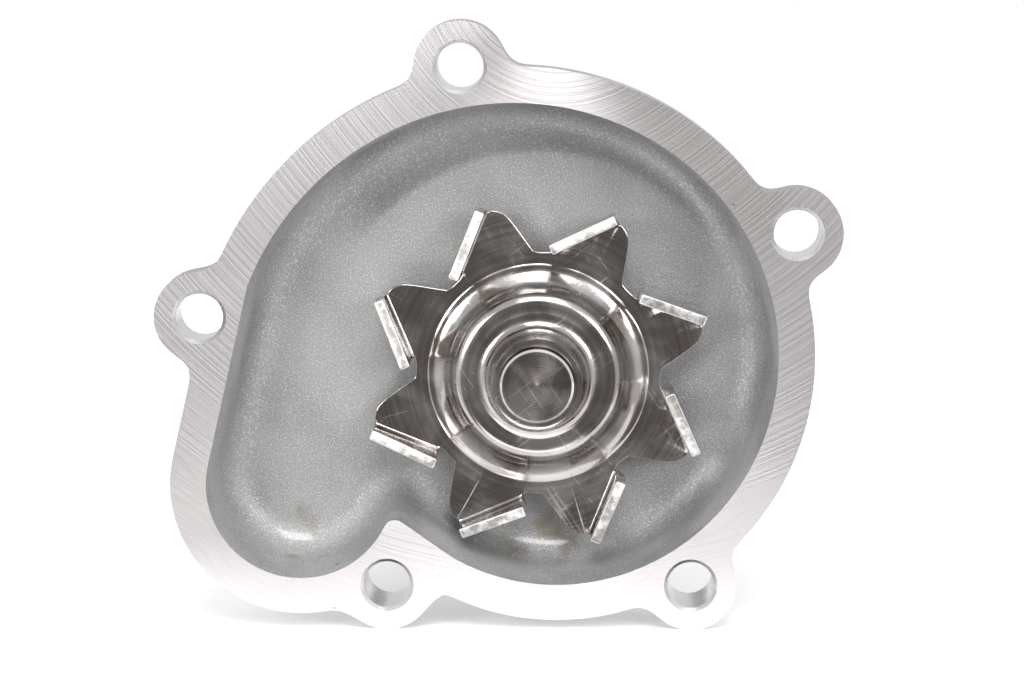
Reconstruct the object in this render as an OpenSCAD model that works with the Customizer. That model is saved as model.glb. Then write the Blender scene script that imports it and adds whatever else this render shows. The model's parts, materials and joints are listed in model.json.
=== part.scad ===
// Engine water pump: die-cast housing with a scroll cavity, stamped star impeller,
// cartridge bearing, face seal and pulley hub.
// The shaft runs along Y. The gasket face is the plane y = 0 and faces -Y, +Z is up,
// and the origin is where the shaft's axis crosses the gasket face.

/* [Impeller] */
// Radius swept by the outer ends of the blades, to the middle of the sheet
impeller_r = 31.9; // [28:0.1:40]
// Radius of the inner ends of the blades
blade_inner_r = 23.8; // [21:0.1:28]
// Number of blades
blade_count = 8; // [5:1:9]
// Angle that a blade leans back between its outer and its inner end, degrees
blade_sweep = 20.3; // [10:0.1:30]
// Height of a blade above the plate at its inner end
blade_inner_h = 9.4; // [5:0.1:12]
// Height of a blade above the plate at its outer end
blade_outer_h = 5.7; // [3:0.1:9]
// Thickness of the stamped sheet
sheet_t = 1.8; // [1.2:0.1:2.4]
// Radius of the plate at the notches between its arms
notch_r = 22.2; // [20.5:0.1:26]
// Radius of the drawn boss where it meets the flat plate
boss_foot_r = 19.6; // [18:0.1:20.4]
// Radius of the drawn boss at its shoulder
boss_top_r = 14.6; // [13:0.1:17]
// Height of the drawn boss above the plate, at its shoulder
boss_h = 5.0; // [4:0.1:7]
// Height of the collar's rim above the plate
collar_h = 12.6; // [10:0.1:16]
// Thickness of the collar's wall
collar_t = 1.7; // [1.2:0.1:2.4]

/* [Scroll cavity] */
// Depth of the cavity below the gasket face
cavity_depth = 18; // [15:0.5:26]
// Space between the impeller's back and the cavity's floor
back_gap = 3.7; // [2.5:0.1:6]
// Space between the blades' tips and the scroll at its tightest
tongue_gap = 2.6; // [1.5:0.1:6]
// How much the scroll's radius grows from the tongue to its end
scroll_growth = 19.2; // [12:0.1:26]
// Radius of the round outlet pocket
pocket_r = 16.85; // [14:0.05:20]
// How far the pocket's centre lies inside the scroll's largest radius
pocket_inset = 7.2; // [4:0.1:12]
// Radius of the tongue's tip
tongue_r = 2.0; // [1:0.1:3]
// Thickness of the cavity's floor
floor_t = 4.0; // [3:0.5:6]
// Thickness of the cavity's wall
wall_t = 4.0; // [3:0.5:6]
// How far the cavity's wall leans in between the gasket face and its fillet
draft = 1.2; // [0.6:0.1:2]
// Radius of the fillet between the cavity's wall and its floor
floor_fillet = 5.0; // [3:0.5:7]
// Radius that rounds the casing's back edge
back_round = 7.0; // [4:0.5:9]

/* [Gasket flange] */
// Width of the gasket face around the cavity
flange_w = 6.4; // [4.5:0.1:9]
// Thickness of the flange
flange_t = 7.0; // [5:0.5:10]
// Radius of the bolt lugs
lug_r = 8.1; // [7:0.1:11]
// Thickness of the top, left and right lugs
lug_t = 9.0; // [7.5:0.5:14]
// Thickness of the two lower lugs
lower_lug_t = 13.0; // [9:0.5:20]
// Diameter of the bolt holes
bolt_d = 8.4; // [6.4:0.1:10.5]
// Size of the chamfer at the mouth of each bolt hole
bolt_chamfer = 0.6; // [0.2:0.1:1]
// Radius kept free round each bolt's head, behind its lug
bolt_relief_r = 6.8; // [5.5:0.1:8]
// Thinnest wall between a bolt's head and the cavity
relief_wall = 2.2; // [1.5:0.1:3]

/* [Bearing] */
// Diameter of the shaft in the bearing
shaft_d = 15.9; // [13:0.1:18]
// Step from the shaft down to its end in the impeller
tip_step = 1.35; // [0.8:0.05:2]
// Outer diameter of the bearing
bearing_d = 30; // [28:0.5:38]
// Length of the bearing
bearing_len = 38; // [34:1:50]
// Wall of the bearing's outer ring
bearing_wall = 2.6; // [2:0.1:3.5]
// Clearance between balls and their grooves
ball_clearance = 0.1; // [0.05:0.01:0.2]
// Balls in each row
ball_count = 8; // [6:1:8]
// Distance of each row of balls from its end of the bearing
row_inset = 9.1; // [7:0.1:12]
// Rim of a ball cage on each side of its pockets
cage_rim = 0.6; // [0.4:0.05:1]

/* [Shaft seal] */
// Outer diameter of the seal case, which is pressed into the housing
seal_d = 30; // [28:0.5:36]
// Length of the seal case in its bore
seal_len = 13; // [11:0.5:18]
// Sheet thickness of the seal case
case_t = 0.8; // [0.5:0.1:1.2]
// Thickness of the water film between the two seal rings
seal_film = 0.1; // [0.05:0.01:0.2]
// Running clearance of the seal's still pieces round the shaft
shaft_gap = 0.9; // [0.5:0.1:1.5]
// Diameter of the seal spring's wire
spring_wire = 1.2; // [0.8:0.1:1.4]

/* [Housing boss and ribs] */
// Wall of the boss round the bearing
boss_wall = 4.8; // [3.5:0.1:8]
// Length of the drain chamber between seal and bearing
chamber_len = 6; // [5:0.5:10]
// Thickness of the ribs
rib_t = 4.0; // [3:0.1:6]
// Height of the ribs on the boss, above the back of the cavity
rib_h = 30; // [15:1:38]
// Diameter of the weep hole
weep_d = 4.4; // [3:0.1:6]
// Wall of the weep hole's stub
weep_wall = 3.6; // [2.5:0.1:5]

/* [Pulley hub] */
// Diameter of the pulley flange
hub_d = 62; // [56:0.5:80]
// Thickness of the pulley flange
hub_t = 6; // [4:0.5:9]
// Diameter of the pilot that centres the pulley
pilot_d = 25; // [22:0.5:30]
// Length of the pilot in front of the flange
pilot_len = 9; // [5:0.5:14]
// Diameter of the pulley's bolt circle
pulley_pcd = 46; // [40:0.5:48]
// Number of pulley bolts
pulley_bolts = 4; // [3:1:6]
// Diameter of the tapped holes, at the crests of the thread
tapped_d = 6.8; // [5:0.1:8.5]
// Space between the bearing and the hub
hub_gap = 4; // [2.5:0.5:8]

/* [Hidden] */
$fn = 72;
eps = 0.01;

// The scroll's own centre, beside the shaft's axis
scroll_centre = [-0.4, 1.1];
scroll_from = -115;
scroll_to = 162;
tongue_at = -134;
scroll_step = 6.925;

// Places along the shaft, measured from the gasket face
plate_back = cavity_depth - back_gap;
plate_front = plate_back - sheet_t;
collar_y = plate_front - collar_h;
tip_y = collar_y - 1.7;
shoulder_y = plate_front - boss_h + sheet_t + 0.9;
body_back = cavity_depth + floor_t;
seal_end = cavity_depth + seal_len;
bearing_from = seal_end + chamber_len;
bearing_to = bearing_from + bearing_len;
hub_from = bearing_to + hub_gap;
hub_face = hub_from + hub_t;
shaft_end = hub_face + pilot_len;

// Radii of the shaft, the seal and the bearing
shaft_r = shaft_d / 2;
tip_r = shaft_r - tip_step;
seal_r = seal_d / 2;
bearing_r = bearing_d / 2;
race_r = bearing_r - bearing_wall;
boss_r = max(bearing_r, seal_r) + boss_wall;
ball_pitch_r = (shaft_r + race_r) / 2;
ball_r = (race_r - shaft_r) / 2 + 0.5;
cage_w = 2 * (ball_r + ball_clearance + cage_rim);
front_row = bearing_from + row_inset;
rear_row = bearing_to - row_inset;

function polar(r, a) = [r * cos(a), r * sin(a)];
function scroll_r(a) = impeller_r + tongue_gap + scroll_growth * (a - tongue_at) / (scroll_to - tongue_at);
function scroll_point(a, grow) = scroll_centre + polar(scroll_r(a) + grow, a);
// Angle, seen from circle centre c, of the point where a line from p touches it on its left
function touch_angle(p, c, r) = atan2(p[1] - c[1], p[0] - c[0]) + acos(r / norm(p - c));
function arc(c, r, from, to, steps) = [for (i = [0:steps]) c + polar(r, from + (to - from) * i / steps)];

pocket_centre = scroll_centre + polar(scroll_r(scroll_to) - pocket_inset, 204.9);
tongue_side = -25.5;

// Lugs: angle and distance outside the scroll's edge from the scroll's centre, and thickness
lugs = [
  [103.3, 7.1, lug_t],
  [29.2, 8.1, lug_t],
  [-53.4, 7.1, lower_lug_t],
  [-125.3, 11.0, lower_lug_t],
  [169.6, 6.5, lug_t]
];
function lug_centre(lug) = scroll_centre + polar(scroll_r(lug[0]) + lug[1], lug[0]);

// Extrudes an outline, drawn as x and z, between two places on the shaft's axis
module slab(from_y, to_y) {
  translate([0, to_y, 0]) rotate([90, 0, 0]) linear_extrude(to_y - from_y) children();
}

// Turns a profile of [radius, y] points about the shaft's axis
module turned(profile) {
  rotate([-90, 0, 0]) rotate_extrude() polygon(profile);
}

module ring(inner_r, outer_r, from_y, to_y) {
  turned([[inner_r, from_y], [outer_r, from_y], [outer_r, to_y], [inner_r, to_y]]);
}

module rod(r, from_y, to_y) {
  translate([0, from_y, 0]) rotate([-90, 0, 0]) cylinder(r = r, h = to_y - from_y);
}

function scroll_edge(grow) =
  [for (a = [scroll_from:scroll_step:scroll_to + eps]) scroll_point(a, grow)];

function pocket_edge(grow, last_angle) =
  let (start = touch_angle(scroll_point(scroll_to, grow), pocket_centre, pocket_r + grow))
  arc(pocket_centre, pocket_r + grow, start, last_angle, 16);

function tongue_edge(grow) = let (
    r = max(0.4, tongue_r - grow),
    c = pocket_centre + polar(pocket_r + grow + r, tongue_side)
  ) arc(c, r, 180 + tongue_side, touch_angle(scroll_point(scroll_from, grow), c, r), 6);

// The cavity's edge, moved outward by grow: the scroll, its straight run-out, the pocket and the tongue
function cavity_edge(grow) = concat(scroll_edge(grow), pocket_edge(grow, 360 + tongue_side), tongue_edge(grow));

// The outside bridges the tongue, so its edge leaves it out
bridge_from = 278;
function outer_edge(grow) = concat(scroll_edge(grow), pocket_edge(grow, bridge_from));

// From here every point of such an edge is in plain view, so flat end faces fan out from it
fan_point = [-25, -2];

// Solid through a list of outlines, one at each place on the shaft's axis
module lofted(places, outlines) {
  n = len(outlines[0]);
  levels = len(places);
  last = (levels - 1) * n;
  rims = [for (j = [0:levels - 1]) for (p = outlines[j]) [p[0], places[j], p[1]]];
  hubs = [for (j = [0, levels - 1]) [fan_point[0], places[j], fan_point[1]]];
  sides = [for (j = [0:levels - 2]) for (i = [0:n - 1]) let (k = (i + 1) % n)
    [j * n + i, j * n + k, (j + 1) * n + k, (j + 1) * n + i]];
  front = [for (i = [0:n - 1]) [last + n, (i + 1) % n, i]];
  back = [for (i = [0:n - 1]) [last + n + 1, last + i, last + (i + 1) % n]];
  polyhedron(concat(rims, hubs), concat(sides, front, back));
}

// [y, grow] levels of a quarter round of radius r that ends at to_y, from edge offset grow inward
function rounded_levels(to_y, grow, r) =
  [for (a = [0:30:90]) [to_y - r + r * sin(a), grow - r * (1 - cos(a))]];

// The hollow: drafted wall and filleted floor, narrowed where a bolt's head sits behind it
module cavity() {
  levels = concat([[-1, 0], [0, 0]], rounded_levels(cavity_depth, -draft, floor_fillet));
  difference() {
    lofted([for (level = levels) level[0]], [for (level = levels) cavity_edge(level[1])]);
    for (lug = lugs) {
      c = lug_centre(lug);
      translate([c[0], 0, c[1]]) rod(bolt_relief_r + relief_wall, lug[2] - relief_wall, body_back);
    }
  }
}

// The scroll casing behind the flange
module casing() {
  levels = concat([[flange_t / 2, wall_t]], rounded_levels(body_back, wall_t - draft, back_round));
  lofted([for (level = levels) level[0]], [for (level = levels) outer_edge(level[1])]);
}

// A round lug with a foot that widens into the flange
module lug_outline(lug) {
  foot_half = lug_r + 3.4;
  foot_in = lug_r + 1.6;
  c = lug_centre(lug);
  translate(c) {
    circle(r = lug_r);
    rotate(lug[0]) polygon([
      [0.5, lug_r - 0.1], [-foot_in * 0.55, lug_r + 0.5], [-foot_in, foot_half],
      [-foot_in, -foot_half], [-foot_in * 0.55, -lug_r - 0.5], [0.5, -lug_r + 0.1]
    ]);
  }
}

// Tapered web from the boss to the rim of the casing
module rib(angle) {
  reach = scroll_r(max(angle, scroll_from)) - 1;
  foot = body_back - floor_t / 2;
  rotate([0, -angle, 0]) translate([0, 0, -rib_t / 2]) linear_extrude(rib_t) polygon([
    [boss_r - 2, foot], [reach, foot], [reach, body_back + 0.6],
    [boss_r + 4, body_back + rib_h * 0.55], [boss_r - 2, body_back + rib_h]
  ]);
}

// One rib points at each lug, and three more fill the widest gaps
rib_angles = concat([for (lug = lugs) lug[0]], [66, -12, 214]);

weep_y = seal_end + chamber_len * 0.45;
weep_r = weep_d / 2;
stub_r = weep_r + weep_wall;
stub_low = -(boss_r + 7);
plug_seat_r = weep_r + 1.4;
plug_seat_depth = 3.4;

module weep_stub() {
  translate([0, weep_y, stub_low]) cylinder(r = stub_r, h = -stub_low - seal_r - 1);
}

module weep_cuts() {
  translate([0, weep_y, stub_low - 1]) cylinder(r = weep_r, h = 1 - stub_low);
  translate([0, weep_y, stub_low - 1]) cylinder(r = plug_seat_r, h = 1 + plug_seat_depth);
  translate([0, weep_y, 0]) cylinder(r = weep_r * 0.7, h = boss_r + 1);
}

// Room for each bolt's head behind its lug
module bolt_reliefs() {
  for (lug = lugs) {
    c = lug_centre(lug);
    translate([c[0], 0, c[1]]) rod(bolt_relief_r, lug[2], body_back + rib_h);
  }
}

module bolt_holes() {
  bolt_r = bolt_d / 2;
  for (lug = lugs) {
    c = lug_centre(lug);
    translate([c[0], 0, c[1]]) {
      rod(bolt_r, -1, lug[2] + 1);
      turned([[0, -1], [bolt_r + bolt_chamfer, -1], [bolt_r + bolt_chamfer, 0], [bolt_r, bolt_chamfer],
              [0, bolt_chamfer]]);
    }
  }
}

module pump_body() {
  chamber_r = min(seal_r, bearing_r) - 2.2;
  color("#b9bcc0") difference() {
    union() {
      slab(0, flange_t) polygon(outer_edge(flange_w));
      casing();
      for (lug = lugs) slab(0, lug[2]) lug_outline(lug);
      turned([[0, cavity_depth], [boss_r + 2.4, cavity_depth], [boss_r + 2.4, seal_end + 1],
              [boss_r, bearing_from + 2], [boss_r, bearing_to - 1], [boss_r - 1, bearing_to],
              [0, bearing_to]]);
      for (a = rib_angles) rib(a);
      weep_stub();
    }
    cavity();
    bolt_reliefs();
    rod(seal_r, cavity_depth - 1, seal_end);
    rod(chamber_r, seal_end - 1, bearing_from + 1);
    rod(bearing_r, bearing_from, bearing_to + 1);
    weep_cuts();
    bolt_holes();
  }
}

// Pressed cup that closes the weep hole's mouth, with a small drain slot
module weep_plug() {
  color("#8d9096") difference() {
    translate([0, weep_y, stub_low + 0.2]) cylinder(r = plug_seat_r, h = plug_seat_depth - 0.2);
    translate([0, weep_y, stub_low + 1.2]) cylinder(r = plug_seat_r - 0.8, h = plug_seat_depth);
    translate([0, weep_y, stub_low - 1]) cylinder(r = 1, h = plug_seat_depth);
  }
}

// One arm of the star, from the notch before it to the blade's two ends
function arm_points(at) = let (
    pitch = 360 / blade_count,
    lead = blade_sweep - pitch + 7.7,
    far = impeller_r - 0.4
  ) [
    polar(notch_r, at + lead), polar(notch_r + 0.8, at + lead + 1.4),
    polar(notch_r + (far - notch_r) * 0.72, at + lead * 0.5),
    polar(notch_r + (far - notch_r) * 0.86, at + lead * 0.36),
    polar(far - 0.6, at + lead * 0.2),
    polar(far, at), polar(blade_inner_r, at + blade_sweep),
    polar(notch_r, at + blade_sweep + 0.8)
  ];

first_blade = 18.9;
// The bend lifts a blade's foot this far off the plate's back
bend_rise = 0.5;

module blade(at) {
  outer_end = polar(impeller_r, at);
  inner_end = polar(blade_inner_r, at + blade_sweep);
  run = outer_end - inner_end;
  len = norm(run);
  top_inner = plate_front - blade_inner_h;
  top_outer = plate_front - blade_outer_h;
  foot = plate_back - bend_rise;
  translate([inner_end[0], 0, inner_end[1]]) rotate([0, -atan2(run[1], run[0]), 0])
    translate([0, 0, -sheet_t / 2]) linear_extrude(sheet_t)
      polygon([[0, foot], [0, top_inner + 0.6], [0.6, top_inner],
               [len - 0.6, top_outer], [len, top_outer + 0.6], [len, foot]]);
}

module impeller() {
  collar_r = tip_r + collar_t;
  boss_y = plate_front - boss_h;
  drawn_boss = [
    [tip_r, collar_y + 0.4], [tip_r + 0.4, collar_y], [collar_r - 0.2, collar_y],
    [collar_r, collar_y + 0.3], [collar_r + 0.3, boss_y - 2.4], [collar_r + 1.2, boss_y - 1.1],
    [boss_top_r - 0.7, boss_y - 0.2], [boss_top_r + 0.3, boss_y + 0.4],
    [boss_foot_r - 0.8, plate_front - 0.5], [boss_foot_r, plate_front], [boss_foot_r + 0.6, plate_front],
    [boss_foot_r + 0.6, plate_back], [boss_foot_r - 0.9, plate_back],
    [boss_foot_r - 1.9, plate_front + 1.2], [boss_top_r - 0.6, boss_y + sheet_t + 0.3],
    [boss_top_r - 1.4, boss_y + sheet_t], [collar_r + 0.6, boss_y + 0.7], [tip_r, boss_y + 0.7]
  ];
  color("#6d6a6b") union() {
    turned(drawn_boss);
    slab(plate_front, plate_back) difference() {
      polygon([for (i = [0:blade_count - 1]) each arm_points(first_blade + i * 360 / blade_count)]);
      circle(r = boss_foot_r + 0.3);
    }
    for (i = [0:blade_count - 1]) blade(first_blade + i * 360 / blade_count);
  }
}

// Ground shaft with a stepped impeller end and two ball grooves
module bearing_shaft() {
  groove_r = ball_r + ball_clearance;
  color("#9a9b9e") difference() {
    turned([[0, tip_y], [tip_r - 0.35, tip_y], [tip_r, tip_y + 0.35], [tip_r, shoulder_y],
            [shaft_r - 0.3, shoulder_y], [shaft_r, shoulder_y + 0.3], [shaft_r, shaft_end - 0.8],
            [shaft_r - 0.8, shaft_end], [0, shaft_end]]);
    for (y = [front_row, rear_row])
      rotate([-90, 0, 0]) translate([0, 0, y]) rotate_extrude() translate([ball_pitch_r, 0]) circle(r = groove_r);
  }
}

module bearing_outer_ring() {
  groove_r = ball_r + ball_clearance;
  color("#a6a8ab") difference() {
    turned([[race_r, bearing_from], [bearing_r - 0.6, bearing_from], [bearing_r, bearing_from + 0.6],
            [bearing_r, bearing_to - 0.6], [bearing_r - 0.6, bearing_to], [race_r, bearing_to]]);
    for (y = [front_row, rear_row])
      rotate([-90, 0, 0]) translate([0, 0, y]) rotate_extrude() translate([ball_pitch_r, 0]) circle(r = groove_r);
  }
}

module ball_set(row_y) {
  color("#c9cbce") for (i = [0:ball_count - 1])
    rotate([0, -i * 360 / ball_count, 0]) translate([ball_pitch_r, row_y, 0]) sphere(r = ball_r);
}

module ball_cage(row_y) {
  race_gap = (race_r - shaft_r) * 0.22;
  color("#3d6a4a") difference() {
    ring(shaft_r + race_gap, race_r - race_gap, row_y - cage_w / 2, row_y + cage_w / 2);
    for (i = [0:ball_count - 1])
      rotate([0, -i * 360 / ball_count, 0]) translate([0, row_y, 0]) rotate([0, 90, 0])
        cylinder(r = ball_r + ball_clearance, h = race_r);
  }
}

module front_ball_set() { ball_set(front_row); }
module rear_ball_set() { ball_set(rear_row); }
module front_ball_cage() { ball_cage(front_row); }
module rear_ball_cage() { ball_cage(rear_row); }

// Lip seal in the mouth of the bearing
module bearing_seal(from_y) {
  color("#262626") turned([
    [shaft_r + 0.3, from_y + 0.5], [shaft_r + 0.6, from_y], [race_r, from_y],
    [race_r, from_y + 1.4], [shaft_r + 0.9, from_y + 1.4], [shaft_r + 0.3, from_y + 0.9]
  ]);
}

module front_bearing_seal() { bearing_seal(bearing_from + 0.5); }
module rear_bearing_seal() { bearing_seal(bearing_to - 1.9); }

module pulley_hub() {
  pilot_r = pilot_d / 2;
  color("#6f7072") difference() {
    turned([[shaft_r, hub_from], [pilot_r + 1.5, hub_from], [pilot_r + 3, hub_from + 1],
            [hub_d / 2 - 0.8, hub_from + 1], [hub_d / 2, hub_from + 1.8], [hub_d / 2, hub_face - 0.8],
            [hub_d / 2 - 0.8, hub_face], [pilot_r, hub_face], [pilot_r, shaft_end - 1],
            [pilot_r - 1, shaft_end], [shaft_r + 0.8, shaft_end], [shaft_r, shaft_end - 0.8]]);
    for (i = [0:pulley_bolts - 1])
      rotate([0, -(i + 0.5) * 360 / pulley_bolts, 0]) translate([pulley_pcd / 2, 0, 0])
        rod(tapped_d / 2, hub_from - 1, hub_face + 1);
  }
}

// Rubber disc on the shaft that throws drips into the weep hole
module slinger() {
  from = seal_end + 1.6;
  color("#2b2b2b") turned([
    [shaft_r, from], [shaft_r + 1.6, from], [shaft_r + 1.8, from + 0.8], [shaft_r + 3.2, from + 1.1],
    [shaft_r + 3.2, from + 2.0], [shaft_r, from + 2.8]
  ]);
}

// Face seal, from the impeller towards the bearing
mating_r = min(boss_top_r - 2.2, seal_r - case_t - 1.6);
mating_bore_r = shaft_r + 1.3;
mating_from = shoulder_y + 1.2;
mating_to = mating_from + 5.6;
carbon_from = mating_to + seal_film;
carbon_inner_r = shaft_r + shaft_gap + 0.2;
carbon_r = mating_r - 0.6;
carbon_to = carbon_from + 5.2;
case_floor = seal_end - case_t;

module mating_ring_cup() {
  color("#1f1f1f") turned([
    [shaft_r, shoulder_y + 0.4], [mating_r - 0.6, shoulder_y + 0.4], [mating_r - 0.6, mating_from],
    [mating_bore_r, mating_from], [mating_bore_r, mating_to - 1.2], [shaft_r, mating_to - 0.8]
  ]);
}

module mating_ring() {
  color("#e4e0d6") turned([
    [mating_bore_r, mating_from], [mating_r - 0.3, mating_from], [mating_r, mating_from + 0.3],
    [mating_r, mating_to - 0.3], [mating_r - 0.3, mating_to], [mating_bore_r, mating_to]
  ]);
}

module seal_carbon_ring() {
  color("#2a2a2c") turned([
    [carbon_inner_r, carbon_from], [carbon_r - 1, carbon_from], [carbon_r - 1, carbon_from + 1.2],
    [carbon_r, carbon_from + 1.6], [carbon_r, carbon_to], [carbon_inner_r, carbon_to]
  ]);
}

// Band that grips the carbon ring and carries the spring
module seal_band() {
  band_t = 0.5;
  color("#b8a25e") turned([
    [carbon_r, carbon_from + 2.2], [carbon_r + band_t, carbon_from + 2.2],
    [carbon_r + band_t, carbon_to - band_t], [seal_r - case_t - 0.5, carbon_to - band_t],
    [seal_r - case_t - 0.5, carbon_to], [carbon_r, carbon_to]
  ]);
}

// Rubber sleeve with one fold, from the carbon ring to the case floor
module seal_bellows() {
  inner = carbon_inner_r;
  fold_r = seal_r - case_t - spring_wire - 1.5;
  mid = (carbon_to + case_floor) / 2;
  color("#1c1c1c") turned([
    [inner, carbon_to], [inner + 2.0, carbon_to], [inner + 2.0, carbon_to + 0.8],
    [inner + 1.4, carbon_to + 1.4], [fold_r, mid - 0.2], [fold_r, mid + 0.6], [inner + 1.4, case_floor - 1.6],
    [inner + 2.0, case_floor - 1.0], [inner + 2.0, case_floor], [inner, case_floor],
    [inner, case_floor - 1.8], [fold_r - 1.1, mid + 0.2], [inner, carbon_to + 1.6]
  ]);
}

module seal_case() {
  lip_r = carbon_inner_r;
  color("#c2ae6c") turned([
    [seal_r - case_t, cavity_depth - case_t], [seal_r + 2.2, cavity_depth - case_t],
    [seal_r + 2.2, cavity_depth], [seal_r, cavity_depth], [seal_r, seal_end], [lip_r, seal_end],
    [lip_r, case_floor], [seal_r - case_t, case_floor]
  ]);
}

// Coil spring between the band and the case floor: a round wire swept along a helix
spring_turns = 2.5;
spring_sides = 8;
spring_per_turn = 20;

function spring_ring(i, coil_r, from_y, rise) = let (
    a = 360 * i / spring_per_turn,
    y = from_y + rise * i / (spring_turns * spring_per_turn)
  ) [for (s = [0:spring_sides - 1]) let (
      u = 360 * s / spring_sides,
      r = coil_r + spring_wire / 2 * cos(u)
    ) [r * cos(a), y + spring_wire / 2 * sin(u), r * sin(a)]];

module seal_spring() {
  rings = spring_turns * spring_per_turn;
  wire_r = spring_wire / 2;
  coil_r = seal_r - case_t - wire_r - 0.5;
  from_y = carbon_to + wire_r;
  rise = case_floor - carbon_to - spring_wire;
  points = [for (i = [0:rings]) each spring_ring(i, coil_r, from_y, rise)];
  last = rings * spring_sides;
  sides = [for (i = [0:rings - 1]) for (s = [0:spring_sides - 1]) let (t = (s + 1) % spring_sides)
    [i * spring_sides + s, (i + 1) * spring_sides + s, (i + 1) * spring_sides + t, i * spring_sides + t]];
  near_end = [for (s = [0:spring_sides - 1]) s];
  far_end = [for (s = [spring_sides - 1:-1:0]) last + s];
  color("#9d9fa3") polyhedron(points, concat(sides, [near_end, far_end]));
}

pump_body();
weep_plug();
impeller();
bearing_shaft();
pulley_hub();
slinger();
bearing_outer_ring();
front_bearing_seal();
rear_bearing_seal();
front_ball_set();
rear_ball_set();
front_ball_cage();
rear_ball_cage();
seal_case();
seal_spring();
seal_bellows();
seal_band();
seal_carbon_ring();
mating_ring();
mating_ring_cup();
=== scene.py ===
"""Looks of an engine water pump: casting, impeller, shaft, hub and inner parts, and the studio round them.

The shaft runs along Y and the gasket face is the plane y = 0, facing -Y. Sizes in the classes are millimetres,
and make_piece turns them into the frame's metres.
"""
import json
import logging
import math
from collections.abc import Iterable, Sequence
from dataclasses import dataclass, field
from enum import Enum

import bmesh
import bpy
import numpy as np
from mathutils import Matrix, Vector


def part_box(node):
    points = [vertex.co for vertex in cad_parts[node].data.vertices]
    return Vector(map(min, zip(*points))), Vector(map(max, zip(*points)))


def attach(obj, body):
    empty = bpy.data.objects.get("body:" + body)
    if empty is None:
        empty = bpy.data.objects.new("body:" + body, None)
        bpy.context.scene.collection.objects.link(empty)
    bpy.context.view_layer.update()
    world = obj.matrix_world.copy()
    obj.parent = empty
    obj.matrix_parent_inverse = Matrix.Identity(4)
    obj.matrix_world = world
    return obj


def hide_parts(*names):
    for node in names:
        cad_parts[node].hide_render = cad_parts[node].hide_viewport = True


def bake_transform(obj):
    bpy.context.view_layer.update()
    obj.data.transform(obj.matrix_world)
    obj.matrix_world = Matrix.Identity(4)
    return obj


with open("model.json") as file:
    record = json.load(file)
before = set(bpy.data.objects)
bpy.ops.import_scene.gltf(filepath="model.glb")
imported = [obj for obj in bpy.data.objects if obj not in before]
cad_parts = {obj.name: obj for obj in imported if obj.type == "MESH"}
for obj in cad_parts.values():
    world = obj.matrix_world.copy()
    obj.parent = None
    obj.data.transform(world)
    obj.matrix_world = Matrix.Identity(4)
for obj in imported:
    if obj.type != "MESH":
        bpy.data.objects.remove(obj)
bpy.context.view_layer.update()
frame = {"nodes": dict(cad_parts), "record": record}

MM = 0.001
LOG = logging.getLogger("water_pump")
Socket = bpy.types.NodeSocket
Piece = bpy.types.Object
Inputs = dict[str | int, object]


# ---------------------------------------------------------------- plane geometry

def polar(radius: float | np.ndarray, degrees: float | np.ndarray) -> np.ndarray:
    """Points (x, z) at these radii and angles, as rows."""
    angle = np.radians(degrees)
    return np.stack(np.broadcast_arrays(radius * np.cos(angle), radius * np.sin(angle)), axis=-1)


def cut_corners(points: np.ndarray, passes: int, closed: bool = True) -> np.ndarray:
    """Rounds a polygon by cutting every corner at a quarter of its sides, several times over.

    Args:
        points: Corners as rows.
        passes: How many times the corners are cut.
        closed: Whether the last corner joins the first.

    Returns:
        The rounded outline as rows.
    """
    for _ in range(passes):
        start = points if closed else points[:-1]
        end = np.roll(points, -1, axis=0) if closed else points[1:]
        cut = np.stack([0.75 * start + 0.25 * end, 0.25 * start + 0.75 * end], axis=1).reshape(-1, points.shape[1])
        points = cut if closed else np.vstack([points[:1], cut, points[-1:]])
    return points


def rows_of(x: float | np.ndarray, y: float | np.ndarray, z: float | np.ndarray) -> np.ndarray:
    """Points as rows, from places along each axis that are broadcast against each other."""
    return np.stack(np.broadcast_arrays(x, y, z), axis=-1).reshape(-1, 3)


def outline_distance(x: np.ndarray, z: np.ndarray, outline: np.ndarray) -> np.ndarray:
    """Signed distance in the plane to a closed outline, negative inside.

    Each point is dropped square onto every side, clamped to the side's ends, and keeps its shortest drop; it is
    inside where a ray to the right crosses the outline an odd number of times.

    Args:
        x: Places along X.
        z: Places along Z, of the same shape.
        outline: Corners of the outline as rows of (x, z).

    Returns:
        Distances in the shape of x.
    """
    a, b = outline, np.roll(outline, -1, axis=0)
    at_x, at_z = x.reshape(-1, 1), z.reshape(-1, 1)
    side = b - a
    along = ((at_x - a[:, 0]) * side[:, 0] + (at_z - a[:, 1]) * side[:, 1]) / (side ** 2).sum(axis=1)
    along = np.clip(along, 0, 1)
    gap = np.hypot(at_x - a[:, 0] - along * side[:, 0], at_z - a[:, 1] - along * side[:, 1]).min(axis=1)
    spans = (a[:, 1] > at_z) != (b[:, 1] > at_z)
    with np.errstate(divide="ignore", invalid="ignore"):
        right = at_x < a[:, 0] + side[:, 0] * (at_z - a[:, 1]) / side[:, 1]
    inside = (spans & right).sum(axis=1) % 2 == 1
    return np.where(inside, -gap, gap).reshape(x.shape)


# ---------------------------------------------------------------- solid geometry

def blend_union(a: np.ndarray, b: np.ndarray, reach: float) -> np.ndarray:
    """Joins two solids with a fillet: the lower distance, lowered further where both lie within reach."""
    share = np.clip(0.5 + 0.5 * (b - a) / reach, 0, 1)
    return b + (a - b) * share - reach * share * (1 - share)


def blend_cut(solid: np.ndarray, tool: np.ndarray, reach: float) -> np.ndarray:
    """Takes tool out of solid and rounds the edge that this leaves."""
    return -blend_union(-solid, tool, reach)


def rounded_overlap(a: np.ndarray, b: np.ndarray, radius: float) -> np.ndarray:
    """The part inside both a and b, with the edge between them rounded to this radius."""
    corner = np.hypot(np.maximum(a + radius, 0), np.maximum(b + radius, 0))
    return np.minimum(np.maximum(a, b), -radius) + corner


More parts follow.
